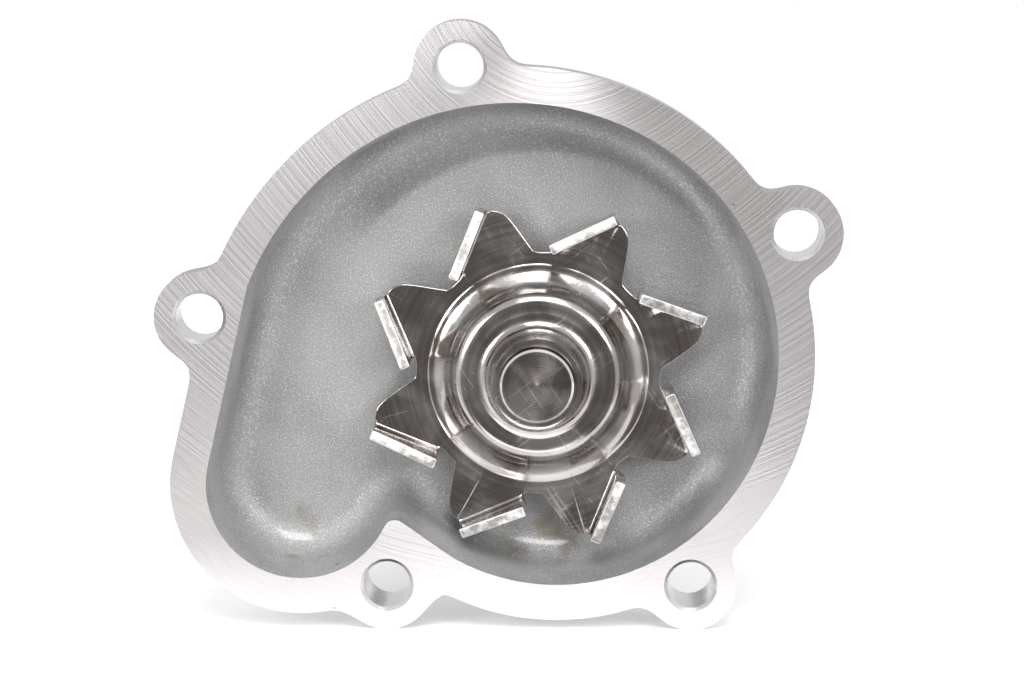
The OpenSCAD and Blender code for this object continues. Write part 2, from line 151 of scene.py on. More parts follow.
def sample(grid: np.ndarray, at: np.ndarray) -> np.ndarray:
    """Reads a grid between its points: the eight nearest values, weighted by closeness along each axis.

    Args:
        grid: Values on a regular grid.
        at: Places in grid steps, as rows.

    Returns:
        One value for each place.
    """
    low = np.clip(np.floor(at).astype(int), 0, np.array(grid.shape) - 2)
    part = at - low
    total = np.zeros(len(at))
    for corner in np.ndindex(2, 2, 2):
        weight = np.where(corner, part, 1 - part).prod(axis=1)
        total += weight * grid[tuple((low + corner).T)]
    return total


def surface_net(values: np.ndarray, low: np.ndarray, cell: float) -> tuple[np.ndarray, np.ndarray]:
    """Wraps the zero level of a distance grid in quads.

    Each grid cell that the surface passes through holds one point, the mean of the crossings on its edges, and
    each crossed edge gives one quad between the four cells round it. Two Newton steps, each the distance times
    its gradient, then pull the points onto the surface.

    Args:
        values: Signed distances, negative inside the solid.
        low: Place of the grid's first point.
        cell: Grid step.

    Returns:
        Points as rows, and quads as rows of point numbers, facing out of the solid.
    """
    inside = values < 0
    shape = np.array(values.shape)
    crossings, cells, quads = [], [], []
    for axis in range(3):
        near = tuple(slice(None, -1) if i == axis else slice(None) for i in range(3))
        far = tuple(slice(1, None) if i == axis else slice(None) for i in range(3))
        edge = np.argwhere(inside[near] != inside[far])
        step = np.eye(3, dtype=int)
        start = values[tuple(edge.T)]
        end = values[tuple((edge + step[axis]).T)]
        point = edge + (start / (start - end))[:, None] * step[axis]
        second, third = step[(axis + 1) % 3], step[(axis + 2) % 3]
        ring = [np.ravel_multi_index((edge - drop).T, shape) for drop in (0, second, second + third, third)]
        ring = np.stack(ring, axis=1)
        outward = start < 0
        quads.append(np.where(outward[:, None], ring, ring[:, ::-1]))
        cells.append(ring.ravel())
        crossings.append(np.repeat(point, 4, axis=0))
    used, number = np.unique(np.concatenate(cells), return_inverse=True)
    crossings = np.vstack(crossings)
    count = np.bincount(number)
    points = np.stack([np.bincount(number, crossings[:, i]) / count for i in range(3)], axis=1)
    slopes = np.gradient(values)
    for _ in range(2):
        slope = np.stack([sample(s, points) for s in slopes], axis=1)
        points -= sample(values, points)[:, None] * slope / np.maximum((slope ** 2).sum(axis=1), 1e-9)[:, None]
    return low + cell * points, np.searchsorted(used, np.vstack(quads))


def grid_quads(rows: int, columns: int, wrap_rows: bool = False, wrap_columns: bool = True) -> np.ndarray:
    """Quads between neighbours of a two-parameter grid of points, numbered row by row.

    Args:
        rows: Steps of the first parameter.
        columns: Steps of the second parameter.
        wrap_rows: Whether the last row joins the first.
        wrap_columns: Whether the last column joins the first.

    Returns:
        Rows of four point numbers.
    """
    row = np.arange(rows if wrap_rows else rows - 1)[:, None]
    column = np.arange(columns if wrap_columns else columns - 1)[None, :]
    next_row, next_column = (row + 1) % rows, (column + 1) % columns
    corners = [row * columns + column, row * columns + next_column,
               next_row * columns + next_column, next_row * columns + column]
    return np.stack(np.broadcast_arrays(*corners), axis=-1).reshape(-1, 4)


def turned(profile: np.ndarray, steps: int, centre: Sequence[float] = (0, 0)) -> tuple[np.ndarray, np.ndarray]:
    """Turns a profile round a line along Y: x = centre + r cos a, z = centre + r sin a, y as drawn.

    Args:
        profile: Rows of (radius, y), either closed or from the axis round to the axis.
        steps: Steps round the circle.
        centre: Where the line crosses the plane, as (x, z).

    Returns:
        Points and quads.
    """
    angle = np.linspace(0, 2 * np.pi, steps, endpoint=False)
    radius, y = profile[:, 0][:, None], profile[:, 1][:, None]
    points = rows_of(centre[0] + radius * np.cos(angle), y, centre[1] + radius * np.sin(angle))
    hollow = bool(profile[0, 0] > 0 or profile[-1, 0] > 0)
    return points, grid_quads(len(profile), steps, wrap_rows=hollow)


# ---------------------------------------------------------------- Blender objects

def make_piece(name: str, points: np.ndarray, faces: np.ndarray) -> Piece:
    """Puts a surface into a new object, in metres.

    Args:
        name: Name of the piece.
        points: Points in millimetres, as rows.
        faces: Quads or triangles as rows of point numbers.

    Returns:
        The new object, at the origin.
    """
    mesh = bpy.data.meshes.new(name)
    mesh.vertices.add(len(points))
    mesh.vertices.foreach_set("co", np.ascontiguousarray(points * MM, dtype=np.float32).ravel())
    sides = faces.shape[1]
    mesh.loops.add(faces.size)
    mesh.loops.foreach_set("vertex_index", np.ascontiguousarray(faces, dtype=np.int32).ravel())
    mesh.polygons.add(len(faces))
    mesh.polygons.foreach_set("loop_start", np.arange(0, faces.size, sides, dtype=np.int32))
    mesh.update(calc_edges=True)
    mesh.validate()
    piece = bpy.data.objects.new(name, mesh)
    bpy.context.scene.collection.objects.link(piece)
    return piece


def weld(piece: Piece) -> Piece:
    """Merges doubled points, as at a pole, and turns every face outward.

    Args:
        piece: A closed surface, or a sheet that gets its wall later.

    Returns:
        The same piece.
    """
    mesh = bmesh.new()
    mesh.from_mesh(piece.data)
    bmesh.ops.remove_doubles(mesh, verts=mesh.verts, dist=1e-7)
    bmesh.ops.dissolve_degenerate(mesh, edges=mesh.edges, dist=1e-8)
    bmesh.ops.recalc_face_normals(mesh, faces=mesh.faces)
    mesh.to_mesh(piece.data)
    mesh.free()
    return piece


def bake(piece: Piece) -> Piece:
    """Turns the modifiers of a piece into its mesh.

    Args:
        piece: The piece, with its modifiers.

    Returns:
        The same piece, with none.
    """
    bpy.context.view_layer.update()
    evaluated = piece.evaluated_get(bpy.context.evaluated_depsgraph_get())
    mesh = bpy.data.meshes.new_from_object(evaluated)
    piece.modifiers.clear()
    piece.data = mesh
    return piece


class Work(Enum):
    """What a tool does to a solid."""

    CUT = "DIFFERENCE"
    JOIN = "UNION"


def combine(piece: Piece, tools: Iterable[Piece], work: Work) -> Piece:
    """Cuts or joins tools into a piece and deletes them.

    Args:
        piece: The solid that is kept.
        tools: Closed solids.
        work: Whether they cut it or join it.

    Returns:
        The piece, with the result in its mesh.
    """
    tools = list(tools)
    for tool in tools:
        step = piece.modifiers.new("combine", "BOOLEAN")
        step.operation, step.solver, step.object = work.value, "MANIFOLD", tool
    bake(piece)
    for tool in tools:
        bpy.data.objects.remove(tool)
    return piece


def bevel(piece: Piece, width: float, segments: int = 2, limit: float = 35) -> Piece:
    """Adds a bevel on the sharp edges of a piece.

    Args:
        piece: The piece.
        width: Width in millimetres.
        segments: Steps across the bevel.
        limit: Least angle of a sharp edge, in degrees.

    Returns:
        The same piece.
    """
    step = piece.modifiers.new("bevel", "BEVEL")
    step.width, step.segments, step.angle_limit = width * MM, segments, math.radians(limit)
    step.limit_method = "ANGLE"
    return piece


def shade(piece: Piece, sharp: float = 30) -> Piece:
    """Shades a piece smooth, apart from its sharp edges.

    Args:
        piece: The piece.
        sharp: Least angle of a sharp edge, in degrees.

    Returns:
        The same piece.
    """
    piece.data.shade_smooth()
    piece.data.set_sharp_from_angle(angle=math.radians(sharp))
    return piece


# ---------------------------------------------------------------- materials

def feed(tree: bpy.types.NodeTree, node: bpy.types.Node, inputs: Inputs) -> None:
    """Fills a node's inputs.

    Args:
        tree: The tree that the node stands in.
        node: The node.
        inputs: Value or output socket for each input, by name or number.
    """
    for key, value in inputs.items():
        if isinstance(value, Socket):
            tree.links.new(value, node.inputs[key])
        else:
            node.inputs[key].default_value = value


class Graph:
    """A node tree under construction."""

    def __init__(self, tree: bpy.types.NodeTree) -> None:
        """Empties the tree and keeps it."""
        tree.nodes.clear()
        self.tree = tree

    def put(self, kind: str, inputs: Inputs | None = None, **settings: object) -> bpy.types.Node:
        """Adds a node.

        Args:
            kind: Name of the node's type after "ShaderNode".
            inputs: Value or output socket for each input, by name or number.
            **settings: Properties of the node itself.

        Returns:
            The new node.
        """
        node = self.tree.nodes.new("ShaderNode" + kind)
        for key, value in settings.items():
            setattr(node, key, value)
        feed(self.tree, node, inputs or {})
        return node

    def math(self, operation: str, *values: float | Socket) -> Socket:
        """Result of a Math node on one to three values."""
        return self.put("Math", dict(enumerate(values)), operation=operation).outputs[0]

    def vector(self, operation: str, *values: Sequence[float] | Socket) -> Socket:
        """Vector result of a Vector Math node."""
        node = self.put("VectorMath", dict(enumerate(values)), operation=operation)
        return node.outputs["Value" if operation == "LENGTH" else "Vector"]

    def flat_offset(self, position: Socket, centre: Sequence[float] | Socket) -> Socket:
        """Offset of a position from a line along Y through centre."""
        return self.vector("MULTIPLY", self.vector("SUBTRACT", position, centre), (1, 0, 1))

    def across(self, position: Socket, centre: Sequence[float]) -> Socket:
        """Way across tool marks, along which brushed metal spreads its gloss.

        Args:
            position: Object coordinates, in metres.
            centre: A point of the line along Y that the marks go round, in metres.

        Returns:
            A direction in the world's axes.
        """
        way = {0: self.vector("NORMALIZE", self.flat_offset(position, centre))}
        settings = {"vector_type": "VECTOR", "convert_from": "OBJECT", "convert_to": "WORLD"}
        return self.put("VectorTransform", way, **settings).outputs[0]

    def noise(self, position: Socket, scale: float | Socket, detail: float = 2, roughness: float = 0.5) -> Socket:
        """Value of a noise texture with this many waves to the metre."""
        inputs = {"Vector": position, "Scale": scale, "Detail": detail, "Roughness": roughness}
        return self.put("TexNoise", inputs).outputs[0]

    def remap(self, value: Socket, low: float, high: float, start: float = 0, end: float = 1) -> Socket:
        """Maps low..high onto start..end, with smooth ends, and clamps the rest."""
        inputs = {0: value, 1: low, 2: high, 3: start, 4: end}
        return self.put("MapRange", inputs, interpolation_type="SMOOTHSTEP").outputs[0]

    def share(self, first: Socket, second: Socket, weight: float) -> Socket:
        """Weighted mean of two values, in which the first has this weight."""
        return self.math("MULTIPLY_ADD", first, weight, self.math("MULTIPLY", second, 1 - weight))

    def mix(self, share: float | Socket, first: Sequence[float] | Socket, second: Sequence[float] | Socket) -> Socket:
        """Colour that goes from first to second as share goes from 0 to 1."""
        inputs = {0: share, 6: first, 7: second}
        return self.put("Mix", inputs, data_type="RGBA").outputs[2]


def grey(value: float, warmth: float = 0) -> tuple[float, float, float, float]:
    """A grey, made warmer (redder) or, below 0, cooler by the share warmth."""
    return (value * (1 + warmth), value, value * (1 - warmth), 1)


class Effect(Enum):
    """Surface effects that are placed more than once, each one node group."""

    GRAIN = "grain"
    RINGS = "rings"
    CLOUDS = "clouds"
    SCRATCHES = "scratches"
    SPECKS = "specks"
    SPOT = "spot"


class Effects:
    """Builds each effect's node group once and places it in materials."""

    def __init__(self) -> None:
        """Starts with no group built."""
        self.groups: dict[Effect, bpy.types.NodeTree] = {}

    def place(self, graph: Graph, effect: Effect, position: Socket, **inputs: object) -> bpy.types.NodeOutputs:
        """Places an effect in a material.

        Args:
            graph: The material's tree.
            effect: Which effect.
            position: Object coordinates, in metres.
            **inputs: Value or socket for each other input of the group, by its name in small letters.

        Returns:
            The effect's outputs, by name.
        """
        if effect not in self.groups:
            self.groups[effect] = getattr(self, "_" + effect.value)()
        node = graph.tree.nodes.new("ShaderNodeGroup")
        node.node_tree = self.groups[effect]
        feed(graph.tree, node, {"Position": position} | {key.title(): value for key, value in inputs.items()})
        return node.outputs

    @staticmethod
    def _group(name: str, inputs: dict[str, str], outputs: Sequence[str]) -> tuple[Graph, bpy.types.NodeOutputs]:
        """Starts a group.

        Args:
            name: Its name.
            inputs: Socket type, Vector or Float, of each input after Position.
            outputs: Name of each output, all of them numbers.

        Returns:
            Its graph, and the values given to it by name.
        """
        tree = bpy.data.node_groups.new(name, "ShaderNodeTree")
        for key, kind in ({"Position": "Vector"} | inputs).items():
            tree.interface.new_socket(key, in_out="INPUT", socket_type="NodeSocket" + kind)
        for key in outputs:
            tree.interface.new_socket(key, in_out="OUTPUT", socket_type="NodeSocketFloat")
        return Graph(tree), tree.nodes.new("NodeGroupInput").outputs

    @staticmethod
    def _end(graph: Graph, outputs: dict[str, Socket]) -> bpy.types.NodeTree:
        """Joins the results to the group's outputs and returns its tree."""
        feed(graph.tree, graph.tree.nodes.new("NodeGroupOutput"), outputs)
        return graph.tree

    def _grain(self) -> bpy.types.NodeTree:
        """Pebbled skin of a casting: fine grains on coarser lumps, and a mask of the grains that get a painted glint.

        Returns:
            The group's tree.
        """
        graph, given = self._group("cast_grain", {"Size": "Float"}, ["Height", "PaintedGlint"])
        scale = graph.math("DIVIDE", 1.0, given["Size"])
        fine = graph.noise(given["Position"], scale, 1.5)
        lumps = graph.noise(given["Position"], graph.math("MULTIPLY", scale, 0.28))
        height = graph.math("MULTIPLY_ADD", lumps, 1.2, fine)
        # the second output marks the grains whose colour is lightened as a painted glint
        return self._end(graph, {"Height": height, "PaintedGlint": graph.remap(fine, 0.5, 0.68)})

    def _rings(self) -> bpy.types.NodeTree:
        """Tool marks: uneven circles round a line along Y through Centre, Pitch apart.

        Returns:
            The group's tree.
        """
        graph, given = self._group("tool_rings", {"Centre": "Vector", "Pitch": "Float"}, ["Height", "Tone"])
        radius = graph.vector("LENGTH", graph.flat_offset(given["Position"], given["Centre"]))
        turns = graph.math("DIVIDE", radius, given["Pitch"])
        wave = graph.math("SINE", graph.math("MULTIPLY", turns, 2 * math.pi))
        uneven = graph.put("TexNoise", {"W": turns, "Scale": 0.9, "Detail": 3}, noise_dimensions="1D")
        height = graph.math("MULTIPLY_ADD", wave, 0.35, uneven.outputs[0])
        return self._end(graph, {"Height": height, "Tone": graph.remap(uneven.outputs[0], 0.3, 0.7)})

    def _clouds(self) -> bpy.types.NodeTree:
        """Slow drift of tone over a surface, for film, stains and uneven polish.

        Returns:
            The group's tree.
        """
        graph, given = self._group("clouds", {"Size": "Float"}, ["Tone"])
        scale = graph.math("DIVIDE", 1.0, given["Size"])
        inputs = {"Vector": given["Position"], "Scale": scale, "Detail": 4, "Distortion": 0.6}
        cloud = graph.put("TexNoise", inputs)
        return self._end(graph, {"Tone": graph.remap(cloud.outputs[0], 0.32, 0.68)})

    def _scratches(self) -> bpy.types.NodeTree:
        """Fine straight scratches in two directions, kept where a slow mask lets them.

        Returns:
            The group's tree.
        """
        graph, given = self._group("scratches", {"Fineness": "Float"}, ["Height", "Mask"])
        marks = []
        for turn, stretch in ((0.6, 24), (-0.9, 30)):
            inputs = {"Vector": given["Position"], "Angle": turn}
            turned_to = graph.put("VectorRotate", inputs, rotation_type="Y_AXIS").outputs[0]
            drawn = graph.vector("MULTIPLY", turned_to, (1, 1, 1 / stretch))
            marks.append(graph.remap(graph.noise(drawn, given["Fineness"], 1), 0.62, 0.72))
        patch = graph.remap(graph.noise(given["Position"], 90), 0.45, 0.6)
        mask = graph.math("MULTIPLY", graph.math("MAXIMUM", *marks), patch)
        return self._end(graph, {"Height": graph.math("MULTIPLY", mask, -1.0), "Mask": mask})

    def _specks(self) -> bpy.types.NodeTree:
        """Sparse pits and dots, one in some of the cells of a random pattern Spacing wide.

        Returns:
            The group's tree.
        """
        graph, given = self._group("specks", {"Spacing": "Float"}, ["Mask"])
        scale = graph.math("DIVIDE", 1.0, given["Spacing"])
        wobble = graph.put("TexNoise", {"Vector": given["Position"], "Scale": 900})
        bent = graph.vector("MULTIPLY", wobble.outputs["Color"], (4e-4, 4e-4, 4e-4))
        place = graph.vector("ADD", given["Position"], bent)
        cell = graph.put("TexVoronoi", {"Vector": place, "Scale": scale})
        chosen = graph.put("SeparateColor", {0: cell.outputs["Color"]}).outputs[0]
        reach = graph.remap(chosen, 0.45, 1.0, 0.0, 0.07)
        mask = graph.math("LESS_THAN", cell.outputs["Distance"], reach)
        return self._end(graph, {"Mask": mask})

    def _spot(self) -> bpy.types.NodeTree:
        """A soft round patch with a ragged edge, 1 at Centre and 0 beyond Radius.

        Returns:
            The group's tree.
        """
        graph, given = self._group("spot", {"Centre": "Vector", "Radius": "Float"}, ["Mask"])
        offset = graph.vector("SUBTRACT", given["Position"], given["Centre"])
        near = graph.math("DIVIDE", graph.vector("LENGTH", offset), given["Radius"])
        ragged = graph.math("MULTIPLY_ADD", graph.noise(given["Position"], 260, 3), 0.9, near)
        return self._end(graph, {"Mask": graph.remap(ragged, 1.3, 0.7)})


EFFECTS = Effects()


@dataclass(frozen=True)
class Finish:
    """A finish: its plain colours and gloss, and what its pattern adds."""

    name: str
    slot: str
    dark: tuple[float, ...]
    light: tuple[float, ...]
    roughness: tuple[float, float]
    metallic: float = 1.0
    bump: float = 0.02

    def build(self) -> bpy.types.Material:
        """Builds the finish as a material.

        Returns:
            The material.
        """
        material = bpy.data.materials.new(self.name)
        material.use_nodes = True
        graph = Graph(material.node_tree)
        position = graph.put("TexCoord").outputs["Object"]
        surface = self.surface(graph, position)
        relief = {"Height": surface.pop("Height"), "Distance": self.bump * MM, "Strength": 1.0}
        surface |= {"Normal": graph.put("Bump", relief).outputs[0], "Metallic": self.metallic}
        shader = graph.put("BsdfPrincipled", surface)
        graph.put("OutputMaterial", {"Surface": shader.outputs[0]})
        return material

    def surface(self, graph: Graph, position: Socket) -> Inputs:
        """Sockets and values for the shader; plain clouds of tone and grain here.

        Args:
            graph: The material's tree.
            position: Object coordinates, in metres.

        Returns:
            Inputs of the Principled BSDF by name, and Height for the bump.
        """
        tone = EFFECTS.place(graph, Effect.CLOUDS, position, size=0.012)["Tone"]
        return {"Base Color": graph.mix(tone, self.dark, self.light),
                "Roughness": graph.remap(tone, 0, 1, *self.roughness),
                "Height": EFFECTS.place(graph, Effect.GRAIN, position, size=0.0007)["Height"]}


@dataclass(frozen=True)
class CastFinish(Finish):
    """Blasted die casting: grain with painted glints, grime and an oily film low in the cavity."""

    oil_spots: tuple[tuple[float, float, float], ...] = ()
    oil_reach: float = 11.0

    def surface(self, graph: Graph, position: Socket) -> Inputs:
        """Grain, painted glints and oil; see Finish.surface for Args and Returns."""
        grain = EFFECTS.place(graph, Effect.GRAIN, position, size=0.0003)
        tone = EFFECTS.place(graph, Effect.CLOUDS, position, size=0.02)["Tone"]
        colour = graph.mix(tone, self.dark, self.light)
        # painted glint: some grains lightened towards pale grey in the colour itself
        colour = graph.mix(graph.math("MULTIPLY", grain["PaintedGlint"], 0.4), colour, grey(0.8))
        pits = EFFECTS.place(graph, Effect.SPECKS, position, spacing=0.006)["Mask"]
        colour = graph.mix(graph.math("MULTIPLY", pits, 0.6), colour, grey(0.07, 0.1))
        wet = 0.0
        for spot in self.oil_spots:
            centre = [v * MM for v in spot]
            mask = EFFECTS.place(graph, Effect.SPOT, position, centre=centre, radius=self.oil_reach * MM)["Mask"]
            wet = graph.math("MAXIMUM", wet, mask)
        stain = graph.remap(graph.noise(position, 150, 3), 0.5, 0.66, 0.0, 0.55)
        colour = graph.mix(graph.math("MULTIPLY", stain, wet), colour, (0.20, 0.15, 0.06, 1))
        roughness = graph.remap(tone, 0, 1, *self.roughness)
        return {"Base Color": colour, "Roughness": roughness, "Height": grain["Height"],
                "Coat Weight": wet, "Coat Roughness": 0.12}


@dataclass(frozen=True)
class MilledFinish(Finish):
    """Face cut by a fly cutter: fine arcs round a far centre, specks and light scratches."""

    cutter: tuple[float, float, float] = (0.0, 0.0, 0.0)
    pitch: float = 0.3
    arc_share: float = 0.38

    def surface(self, graph: Graph, position: Socket) -> Inputs:
        """Arcs, specks and scratches; see Finish.surface for Args and Returns."""
        centre = [v * MM for v in self.cutter]
        arcs = EFFECTS.place(graph, Effect.RINGS, position, centre=centre, pitch=self.pitch * MM)
        tone = EFFECTS.place(graph, Effect.CLOUDS, position, size=0.03)["Tone"]
        colour = graph.mix(graph.share(arcs["Tone"], tone, self.arc_share), self.dark, self.light)
        specks = EFFECTS.place(graph, Effect.SPECKS, position, spacing=0.005)["Mask"]
        marks = EFFECTS.place(graph, Effect.SCRATCHES, position, fineness=1500.0)["Mask"]
        colour = graph.mix(graph.math("MULTIPLY", specks, 0.7), colour, grey(0.12))
        colour = graph.mix(graph.math("MULTIPLY", marks, 0.08), colour, grey(0.3))
        return {"Base Color": colour, "Roughness": graph.remap(arcs["Tone"], 0, 1, *self.roughness),
                "Anisotropic": 0.85, "Tangent": graph.across(position, centre), "Height": arcs["Height"]}


@dataclass(frozen=True)
class TurnedFinish(Finish):
    """Lathe-turned or drawn metal: rings round the shaft's axis, a thin film and a few scratches."""

    pitch: float = 0.25
    film: float = 0.6
    brushed: float = 0.3

    def surface(self, graph: Graph, position: Socket) -> Inputs:
        """Rings, film and scratches; see Finish.surface for Args and Returns."""
        rings = EFFECTS.place(graph, Effect.RINGS, position, pitch=self.pitch * MM)
        tone = EFFECTS.place(graph, Effect.CLOUDS, position, size=0.009)["Tone"]
        marks = EFFECTS.place(graph, Effect.SCRATCHES, position, fineness=1800.0)
        share = graph.share(tone, rings["Tone"], self.film)
        rough = graph.math("MULTIPLY_ADD", marks["Mask"], 0.12, graph.remap(share, 0, 1, *self.roughness))
        return {"Base Color": graph.mix(share, self.dark, self.light), "Roughness": rough,
                "Anisotropic": self.brushed, "Tangent": graph.across(position, (0, 0, 0)),
                "Height": graph.math("ADD", rings["Height"], marks["Height"])}


@dataclass(frozen=True)
class ShearedFinish(Finish):
    """Edge of punched sheet: a torn, bright band with fine grooves along the punch's travel."""

    def surface(self, graph: Graph, position: Socket) -> Inputs:
        """Torn grain and grooves; see Finish.surface for Args and Returns."""
        drawn = graph.vector("MULTIPLY", position, (1, 0.15, 1))
        torn = graph.noise(drawn, 2600, 3, 0.7)
        patches = graph.remap(graph.noise(position, 420, 5, 0.65), 0.42, 0.62)
        return {"Base Color": graph.mix(patches, self.dark, self.light),
                "Roughness": graph.remap(torn, 0.3, 0.7, *self.roughness), "Height": torn}


MOUNTS = {mount["name"]: mount for mount in frame["record"]["mounts"]}
TIP_STEP = 1.35  # how much smaller the radius of the shaft's tip is than that of the shaft

CAST = CastFinish("cast_aluminium_skin", "cast_aluminium", grey(0.31), grey(0.40), (0.56, 0.7), 0.7, 0.08,
                  oil_spots=((-44.7, 16.0, -32.5), (0.0, 16.0, -34.0)))
MILLED = MilledFinish("cast_aluminium_milled", "cast_aluminium", (0.84, 0.79, 0.79, 1), (0.95, 0.93, 0.95, 1),
                      (0.32, 0.4), bump=0.001, cutter=(4.0, 0.0, 74.0))
BORED = Finish("cast_aluminium_bored", "cast_aluminium", grey(0.6), grey(0.78), (0.22, 0.38), bump=0.01)
STAMPED = TurnedFinish("stamped_steel_sheet", "stamped_steel", (0.34, 0.305, 0.29, 1), (0.56, 0.545, 0.54, 1),
                       (0.1, 0.22), bump=0.002, pitch=0.7, film=0.75)
SHEARED = ShearedFinish("stamped_steel_edge", "stamped_steel", grey(0.34, 0.06), grey(0.78), (0.3, 0.5), bump=0.03)
# painted highlight: the blades' rounded top edges, coloured near-white so that they read as a bright outline from
# every side
PAINTED_BURR_HIGHLIGHT = Finish("stamped_steel_burr_painted_highlight", "stamped_steel", grey(0.9), grey(0.97), (0.4, 0.5), 0.6, 0.01)
GROUND = TurnedFinish("ground_steel_shaft", "ground_steel", (0.19, 0.167, 0.155, 1), (0.35, 0.33, 0.32, 1),
                      (0.2, 0.34), bump=0.0015, pitch=0.22, film=0.75)
CHAMFER = TurnedFinish("ground_steel_chamfer", "ground_steel", grey(0.7), grey(0.88), (0.12, 0.25), bump=0.002)
BEARING = TurnedFinish("bearing_steel_ground", "bearing_steel", grey(0.5), grey(0.66), (0.08, 0.18), bump=0.001,
                       pitch=0.3)
HUB = TurnedFinish("hub_steel_turned", "hub_steel", grey(0.20, 0.03), grey(0.40, 0.02), (0.22, 0.4), bump=0.006,
                   pitch=0.3)
PLUG = TurnedFinish("plug_steel_pressed", "plug_steel", grey(0.4), grey(0.6), (0.2, 0.35), bump=0.003)
SPRING = TurnedFinish("spring_steel_wire", "spring_steel", grey(0.42), grey(0.62), (0.15, 0.3), bump=0.002)
BRASS = TurnedFinish("seal_brass_pressed", "seal_brass", (0.48, 0.35, 0.13, 1), (0.72, 0.57, 0.28, 1),
                     (0.18, 0.34), bump=0.003)
RUBBER = Finish("black_rubber_moulded", "black_rubber", grey(0.018), grey(0.035), (0.55, 0.75), 0.0, 0.03)
NYLON = Finish("cage_nylon_moulded", "cage_nylon", (0.04, 0.15, 0.06, 1), (0.07, 0.22, 0.10, 1), (0.35, 0.5), 0.0,
               0.01)
CARBON = Finish("carbon_lapped", "carbon", grey(0.03), grey(0.06), (0.25, 0.4), 0.0, 0.004)
CERAMIC = Finish("ceramic_lapped", "ceramic", (0.72, 0.70, 0.64, 1), (0.86, 0.84, 0.79, 1), (0.12, 0.2), 0.0, 0.002)


class Paintbox:
    """Builds each finish's material when it is first used."""

    def __init__(self) -> None:
        """Starts with no material built."""
        self.built: dict[str, bpy.types.Material] = {}

    def material(self, finish: Finish) -> bpy.types.Material:
        """The material of a finish.

        Args:
            finish: The finish.

        Returns:
            Its material, the same one each time.
        """
        if finish.name not in self.built:
            self.built[finish.name] = finish.build()
        return self.built[finish.name]

    def dress(self, piece: Piece, *finishes: Finish) -> None:
        """Gives a new piece its finishes.

        Args:
            piece: The piece.
            *finishes: The finish of its faces with material number 0, then 1, and so on.
        """
        piece.data.materials.clear()
        for finish in finishes:
            piece.data.materials.append(self.material(finish))

    def dress_nodes(self, finish: Finish, *nodes: str) -> None:
        """Gives carried-over nodes their finish, without touching their meshes.

        Args:
            finish: The finish.
            *nodes: The nodes.
        """
        for node in nodes:
            for place in frame["nodes"][node].material_slots:
                place.link = "OBJECT"
                place.material = self.material(finish)
            LOG.info("dressed %s in %s", node, finish.name)


def faces_of(piece: Piece) -> tuple[np.ndarray, np.ndarray]:
    """Where the faces of a piece are and point.

    Args:
        piece: The piece.

    Returns:
        Their centres in millimetres, and their normals, as rows.
    """
    count = len(piece.data.polygons)
    centres, normals = np.empty(count * 3), np.empty(count * 3)
    piece.data.polygons.foreach_get("center", centres)
    piece.data.polygons.foreach_get("normal", normals)
    return centres.reshape(-1, 3) / MM, normals.reshape(-1, 3)


def number_materials(piece: Piece, *masks: np.ndarray) -> None:
    """Numbers the material of each face.

    Args:
        piece: The piece.
        *masks: The faces with material 1, then 2, and so on; the others have material 0.
    """
    numbers = np.zeros(len(piece.data.polygons), dtype=np.int32)
    for number, mask in enumerate(masks, start=1):
        numbers[mask] = number
    piece.data.polygons.foreach_set("material_index", numbers)


def settle(piece: Piece, body: str, *nodes: str) -> None:
    """Rides a finished piece on its body, and logs it.

    Args:
        piece: The piece.
        body: The body that it moves with.
        *nodes: The nodes that it stands for.
    """
    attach(piece, body)
    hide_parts(*nodes)
    LOG.info("%s: %d faces, rides on %s", piece.name, len(piece.data.polygons), body)


def span(node: str) -> tuple[np.ndarray, np.ndarray]:
    """Lowest and highest corner of a node, in millimetres."""
    low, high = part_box(node)
    return np.array(low) / MM, np.array(high) / MM


def inner_radius(node: str) -> float:
    """Radius of a node's hole.

    Args:
        node: The node.

    Returns:
        Least distance of its points from the shaft's axis, in millimetres.
    """
    mesh = frame["nodes"][node].data
    points = np.empty(len(mesh.vertices) * 3)
    mesh.vertices.foreach_get("co", points)
    return float(np.hypot(points[0::3], points[2::3]).min() / MM)


# ---------------------------------------------------------------- sub-assemblies

@dataclass(frozen=True)
class Lug:
    """A bolt lug of the housing."""

    x: float
    z: float
    thickness: float


